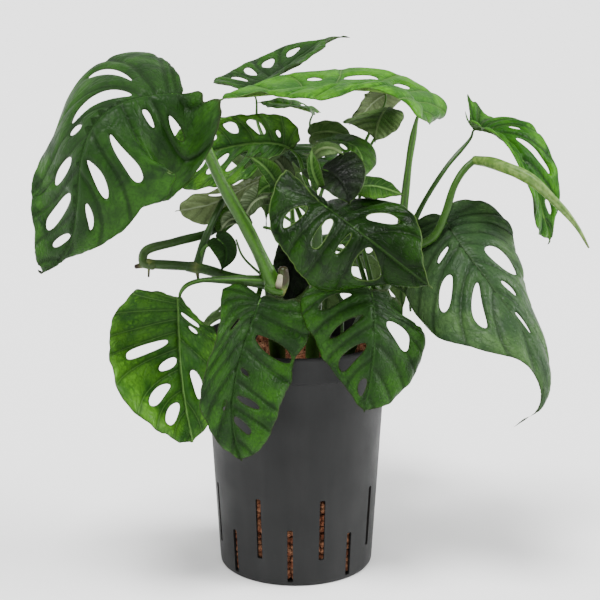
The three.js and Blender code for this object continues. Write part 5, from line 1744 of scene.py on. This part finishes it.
@dataclass(frozen=True)
class CulturePot:
    """The pot: a tapered wall with a collar under its rim and slots round its lower half."""

    height: float = 190
    rim_radius: float = 75
    collar: float = 22
    shoulder: float = 72
    base_radius: float = 62.3
    wall: float = 2
    sides: int = 192
    slots: Slots = Slots()

    def radius(self, z: float) -> float:
        """The outer radius of the wall at a height."""
        return self.base_radius + (self.shoulder - self.base_radius) * z / (self.height - self.collar)

    def profile(self) -> list[Pair]:
        """The wall's section, from the foot's middle to the floor's.

        Returns:
            Radius and height pairs.
        """
        step, rim, foot = self.height - self.collar, self.rim_radius, self.radius(0)
        outside = [(0, 1.2), (foot - 9, 1.2), (foot - 7.6, 0), (foot - 2.2, 0), (foot - 0.9, 0.4),
                   (foot - 0.1, 1.6), (self.radius(4) - 0.02, 4)]
        outside += [(self.radius(z), z) for z in np.linspace(20, step - 0.8, 7)]
        outside += [(self.shoulder + 0.3, step), (rim - 1.6, step + 0.5), (rim - 0.9, step + 1.4),
                    (rim - 0.75, step + 3)]
        outside += [(rim - 0.35, self.height - 4), (rim, self.height - 3), (rim + 0.05, self.height - 1.4),
                    (rim - 0.25, self.height - 0.4), (rim - 0.9, self.height)]
        inside = [(rim - 1.7, self.height), (rim - 2.2, self.height - 0.7), (rim - 2.5, step + 3),
                  (self.shoulder - self.wall, step)]
        inside += [(self.radius(z) - self.wall, z) for z in np.linspace(step - 10, 6, 6)]
        return [*outside, *inside, (self.radius(4) - self.wall - 1.2, 3.2), (0, 3.2)]

    def turned(self) -> bpy.types.Object:
        """The wall before its slots are cut.

        Returns:
            The object.
        """
        profile = self.profile()
        angle = circle(self.sides)
        rows = [np.stack([radius * np.cos(angle), radius * np.sin(angle), np.full(self.sides, z)], -1)
                for radius, z in profile[1:-1]]
        points = np.vstack([*rows, [[0, 0, profile[0][1]], [0, 0, profile[-1][1]]]])
        skin = Skin()
        skin.add(points, round_faces(len(rows), self.sides, pointed=True))
        return skin.build("culture_pot", [])

    def cutter(self) -> bpy.types.Object:
        """All slots as one set of bars with rounded corners.

        Returns:
            The object.
        """
        skin = Skin()
        corner = self.slots.corner
        side = self.slots.width / 2 - corner
        bend = np.linspace(0, math.pi / 2, 4)
        for turn, foot, top in self.slots.each():
            low, high = foot + corner, top - corner
            spots = []
            for quarter, (x, z) in enumerate(((side, high), (-side, high), (-side, low), (side, low))):
                spots += [(x + corner * math.cos(b + quarter * math.pi / 2),
                           z + corner * math.sin(b + quarter * math.pi / 2)) for b in bend]
            out = np.array((math.cos(turn), math.sin(turn), 0))
            wide = np.array((-math.sin(turn), math.cos(turn), 0))
            rings = [[out * depth + wide * x + np.array((0, 0, z)) for x, z in spots]
                     for depth in self.slots.depths]
            skin.add(np.array(rings).reshape(-1, 3), round_faces(len(rings), len(spots)))
        return skin.build("slot_bars", [])

    def build(self) -> bpy.types.Object:
        """Makes the pot and dresses it.

        Returns:
            The piece.
        """
        pot, bars = self.turned(), self.cutter()
        cut = pot.modifiers.new("slots", "BOOLEAN")
        cut.operation, cut.object, cut.solver = "DIFFERENCE", bars, "EXACT"
        bpy.context.view_layer.update()
        whole = bpy.data.meshes.new_from_object(pot.evaluated_get(bpy.context.evaluated_depsgraph_get()))
        pot.modifiers.clear()
        pot.data = whole
        bpy.data.objects.remove(bars)
        for face in whole.polygons:
            face.use_smooth = True
        whole.set_sharp_from_angle(angle=math.radians(32))
        whole.materials.clear()
        whole.materials.append(PotFinish().material())
        return dress(pot, "pot", "pot")


@dataclass(frozen=True)
class ClayBed:
    """The fired-clay granules: a core painted dark as painted shade in the gaps, with loose granules over
    it and behind the slots.

    pot, height: the pot, and how high it is filled.
    size, pitch: least and largest radius of a granule, and the distance between them.
    stray, level: how far a granule of the top layers strays sideways, and down and up.
    layers: how far below the top the upper layer lies, and how far under it the lower one.
    clearing: the distance that granules keep from the middle of a stem.
    column, asides: the distance up a slot between its granules, and how far they lie to its sides.
    gap: how far the core stays inside the wall.
    seed: what the random draws start from.
    """

    pot: CulturePot
    height: float = 172
    size: Pair = (2.7, 4.3)
    pitch: float = 6.3
    stray: float = 1.3
    level: Pair = (-1.6, 2.2)
    layers: Pair = (2.6, 4.6)
    clearing: float = 7.5
    column: float = 5.6
    asides: Pair = (-3.1, 2.9)
    gap: float = 3.4
    seed: int = 5

    def granule(self, skin: Skin, centre: Sequence[float], radius: float, rng: np.random.Generator,
                tint: float) -> None:
        """Adds one lumpy, slightly flattened granule.

        Args:
            skin: the mesh being gathered.
            centre, radius: where it lies, and its size.
            rng: the random draws.
            tint: how dark it is, from 0 to 1: a random tone and, for the lower layer, painted shade.
        """
        angle, tilt = circle(9), np.radians((-62, -32, 0, 32, 62))
        stretch = rng.uniform(0.8, 1.2, 3)
        lumps = rng.uniform(0.86, 1.1, (len(tilt), len(angle)))
        rows = [[(math.cos(t) * math.cos(a) * lump, math.cos(t) * math.sin(a) * lump, math.sin(t) * lump)
                 for a, lump in zip(angle, row)] for t, row in zip(tilt, lumps)]
        points = np.vstack([np.array(rows).reshape(-1, 3), [[0, 0, -0.95], [0, 0, 0.95]]]) * stretch
        turn, lean = rng.uniform(0, 2 * math.pi), rng.uniform(0, math.pi)
        c, s, cl, sl = math.cos(turn), math.sin(turn), math.cos(lean), math.sin(lean)
        turned = points @ np.array(((c, -s, 0), (s, c, 0), (0, 0, 1)))
        points = turned @ np.array(((1, 0, 0), (0, cl, -sl), (0, sl, cl)))
        faces = round_faces(len(tilt), len(angle), pointed=True)
        skin.add(np.asarray(centre) + points * radius, faces, tint=tint)

    def core(self, skin: Skin) -> None:
        """Adds the core under the granules, painted dark as painted shade in the gaps between them.

        Args:
            skin: the mesh being gathered.
        """
        reach = self.pot.wall + self.gap
        heights, angle = np.linspace(6, self.height - 4, 12), circle(48)
        rows = [[((self.pot.radius(z) - reach) * math.cos(a), (self.pot.radius(z) - reach) * math.sin(a), z)
                 for a in angle] for z in heights]
        # The core's full tint is painted shade.
        skin.add(np.array(rows).reshape(-1, 3), round_faces(len(heights), len(angle)), tint=1.0)

    def build(self, feet: Sequence[Point]) -> bpy.types.Object:
        """Makes the granules and dresses them.

        Args:
            feet: where stems stand in the bed.

        Returns:
            The piece.
        """
        rng = np.random.default_rng(self.seed)
        skin = Skin()
        self.core(skin)
        reach = self.pot.radius(self.height) - self.pot.wall - 4
        rows = int(reach / self.pitch) + 1
        for layer, drop in ((0, 0.0), (1, self.layers[1])):
            for i in range(-rows, rows + 1):
                for j in range(-rows, rows + 1):
                    strays = [rng.uniform(-self.stray, self.stray) for _ in range(2)]
                    x = (i + 0.5 * (j % 2) + 0.4 * layer) * self.pitch + strays[0]
                    y = (0.87 * j + 0.4 * layer) * self.pitch + strays[1]
                    z = self.height - self.layers[0] - drop + rng.uniform(*self.level)
                    size = rng.uniform(*self.size)
                    clear = all(math.hypot(x - fx, y - fy) > self.clearing for fx, fy, _ in feet)
                    if math.hypot(x, y) < reach and clear:
                        # The lower layer is painted darker, as painted shade under the upper one.
                        self.granule(skin, (x, y, z), size, rng, rng.uniform(0, 0.5) + 0.3 * layer)
        for turn, foot, top in self.pot.slots.each():
            for z in np.arange(foot + 1, top + 3, self.column):
                for aside in self.asides:
                    size = rng.uniform(*self.size)
                    out = self.pot.radius(z) - self.pot.wall - size - 0.5
                    wide = aside + rng.uniform(-0.8, 0.8)
                    x = out * math.cos(turn) - wide * math.sin(turn)
                    y = out * math.sin(turn) + wide * math.cos(turn)
                    centre = (x, y, max(z + rng.uniform(-1.2, 1.2), 7))
                    self.granule(skin, centre, size, rng, rng.uniform(0, 0.4))
        piece = skin.build("fired_clay_bed", [GranuleFinish().material()])
        return dress(piece, "clay", "clay_granules")


# ---- studio ----
@dataclass(frozen=True)
class Studio:
    """A plain pale floor, soft light and the camera.

    distance, elevation, target, lens: the camera's, in millimetres and degrees.
    floor_reach: how far the floor runs each way, in metres.
    """

    distance: float = 1200
    elevation: float = 13.2
    target: Point = (3.2, 0, 218.1)
    lens: float = 90.26
    floor_reach: float = 40.0

    def floor(self) -> None:
        """Lays the floor."""
        mesh = bpy.data.meshes.new("pale_floor")
        far = self.floor_reach
        corners = [(-far, -far, 0), (far, -far, 0), (far, far, 0), (-far, far, 0)]
        mesh.from_pydata(corners, [], [(0, 1, 2, 3)])
        floor = bpy.data.objects.new("pale_floor", mesh)
        bpy.context.scene.collection.objects.link(floor)
        nodes = Nodes("floor_paint")
        mesh.materials.append(nodes.finish((0.95, 0.95, 0.95), 0.7))

    def camera(self) -> None:
        """Sets up the camera."""
        tilt = math.radians(self.elevation)
        lens = bpy.data.cameras.new("camera")
        lens.lens = self.lens
        lens.sensor_width = 36
        camera = bpy.data.objects.new("camera", lens)
        x, y, z = self.target
        back, rise = self.distance * math.cos(tilt), self.distance * math.sin(tilt)
        camera.location = Vector((x, y - back, z + rise)) * MM
        camera.rotation_euler = (math.pi / 2 - tilt, 0, 0)
        bpy.context.scene.collection.objects.link(camera)
        bpy.context.scene.camera = camera

    def lamp(self, name: str, toward: Point, power: float, softness: float) -> None:
        """Adds one soft lamp.

        Args:
            name: the lamp's name.
            toward: where it shines from.
            power: how bright it is.
            softness: how wide it is, in degrees.
        """
        light = bpy.data.lights.new(name, "SUN")
        light.angle = math.radians(softness)
        light.energy = power
        lamp = bpy.data.objects.new(name, light)
        lamp.rotation_euler = Vector(toward).to_track_quat("Z", "Y").to_euler()
        bpy.context.scene.collection.objects.link(lamp)

    def light(self) -> None:
        """Adds the lamps and the surrounding light."""
        self.lamp("key", (-0.2, -0.45, 1.4), 4.8, 22)
        self.lamp("right", (1, -0.06, 0.42), 4.6, 30)
        self.lamp("left", (-1, -0.25, 0.5), 1.5, 35)
        world = bpy.data.worlds.new("soft_room")
        world.use_nodes = True
        background = world.node_tree.nodes["Background"]
        background.inputs["Color"].default_value = (1, 1, 1, 1)
        background.inputs["Strength"].default_value = 0.75
        bpy.context.scene.world = world

    def build(self) -> None:
        """Sets up the whole studio."""
        self.camera()
        self.floor()
        self.light()


def main() -> None:
    """Builds the plant piece by piece."""
    Studio().build()
    pot = CulturePot()
    pot.build()
    blades = {name: LeafBlade(name, shape) for name, shape in LEAVES.items()}
    limbs = [limb for plan in STEMS.values() for limb in plan.limbs]
    feet = [limb.points[0] for limb in limbs if limb.points[0][2] < ClayBed.height]
    ClayBed(pot).build(feet)
    skin = StemFinish().material()
    for name, plan in STEMS.items():
        LeafyStem(name, plan, blades).build(skin)
    for name, blade in blades.items():
        blade.build(f"leaf_{name}")
    for name, shape in YOUNG_LEAVES.items():
        LeafBlade(f"young_{name}", shape).build()
    RolledLeaf().build()


if __name__ == "__main__":
    logging.basicConfig(level=logging.INFO)
    main()
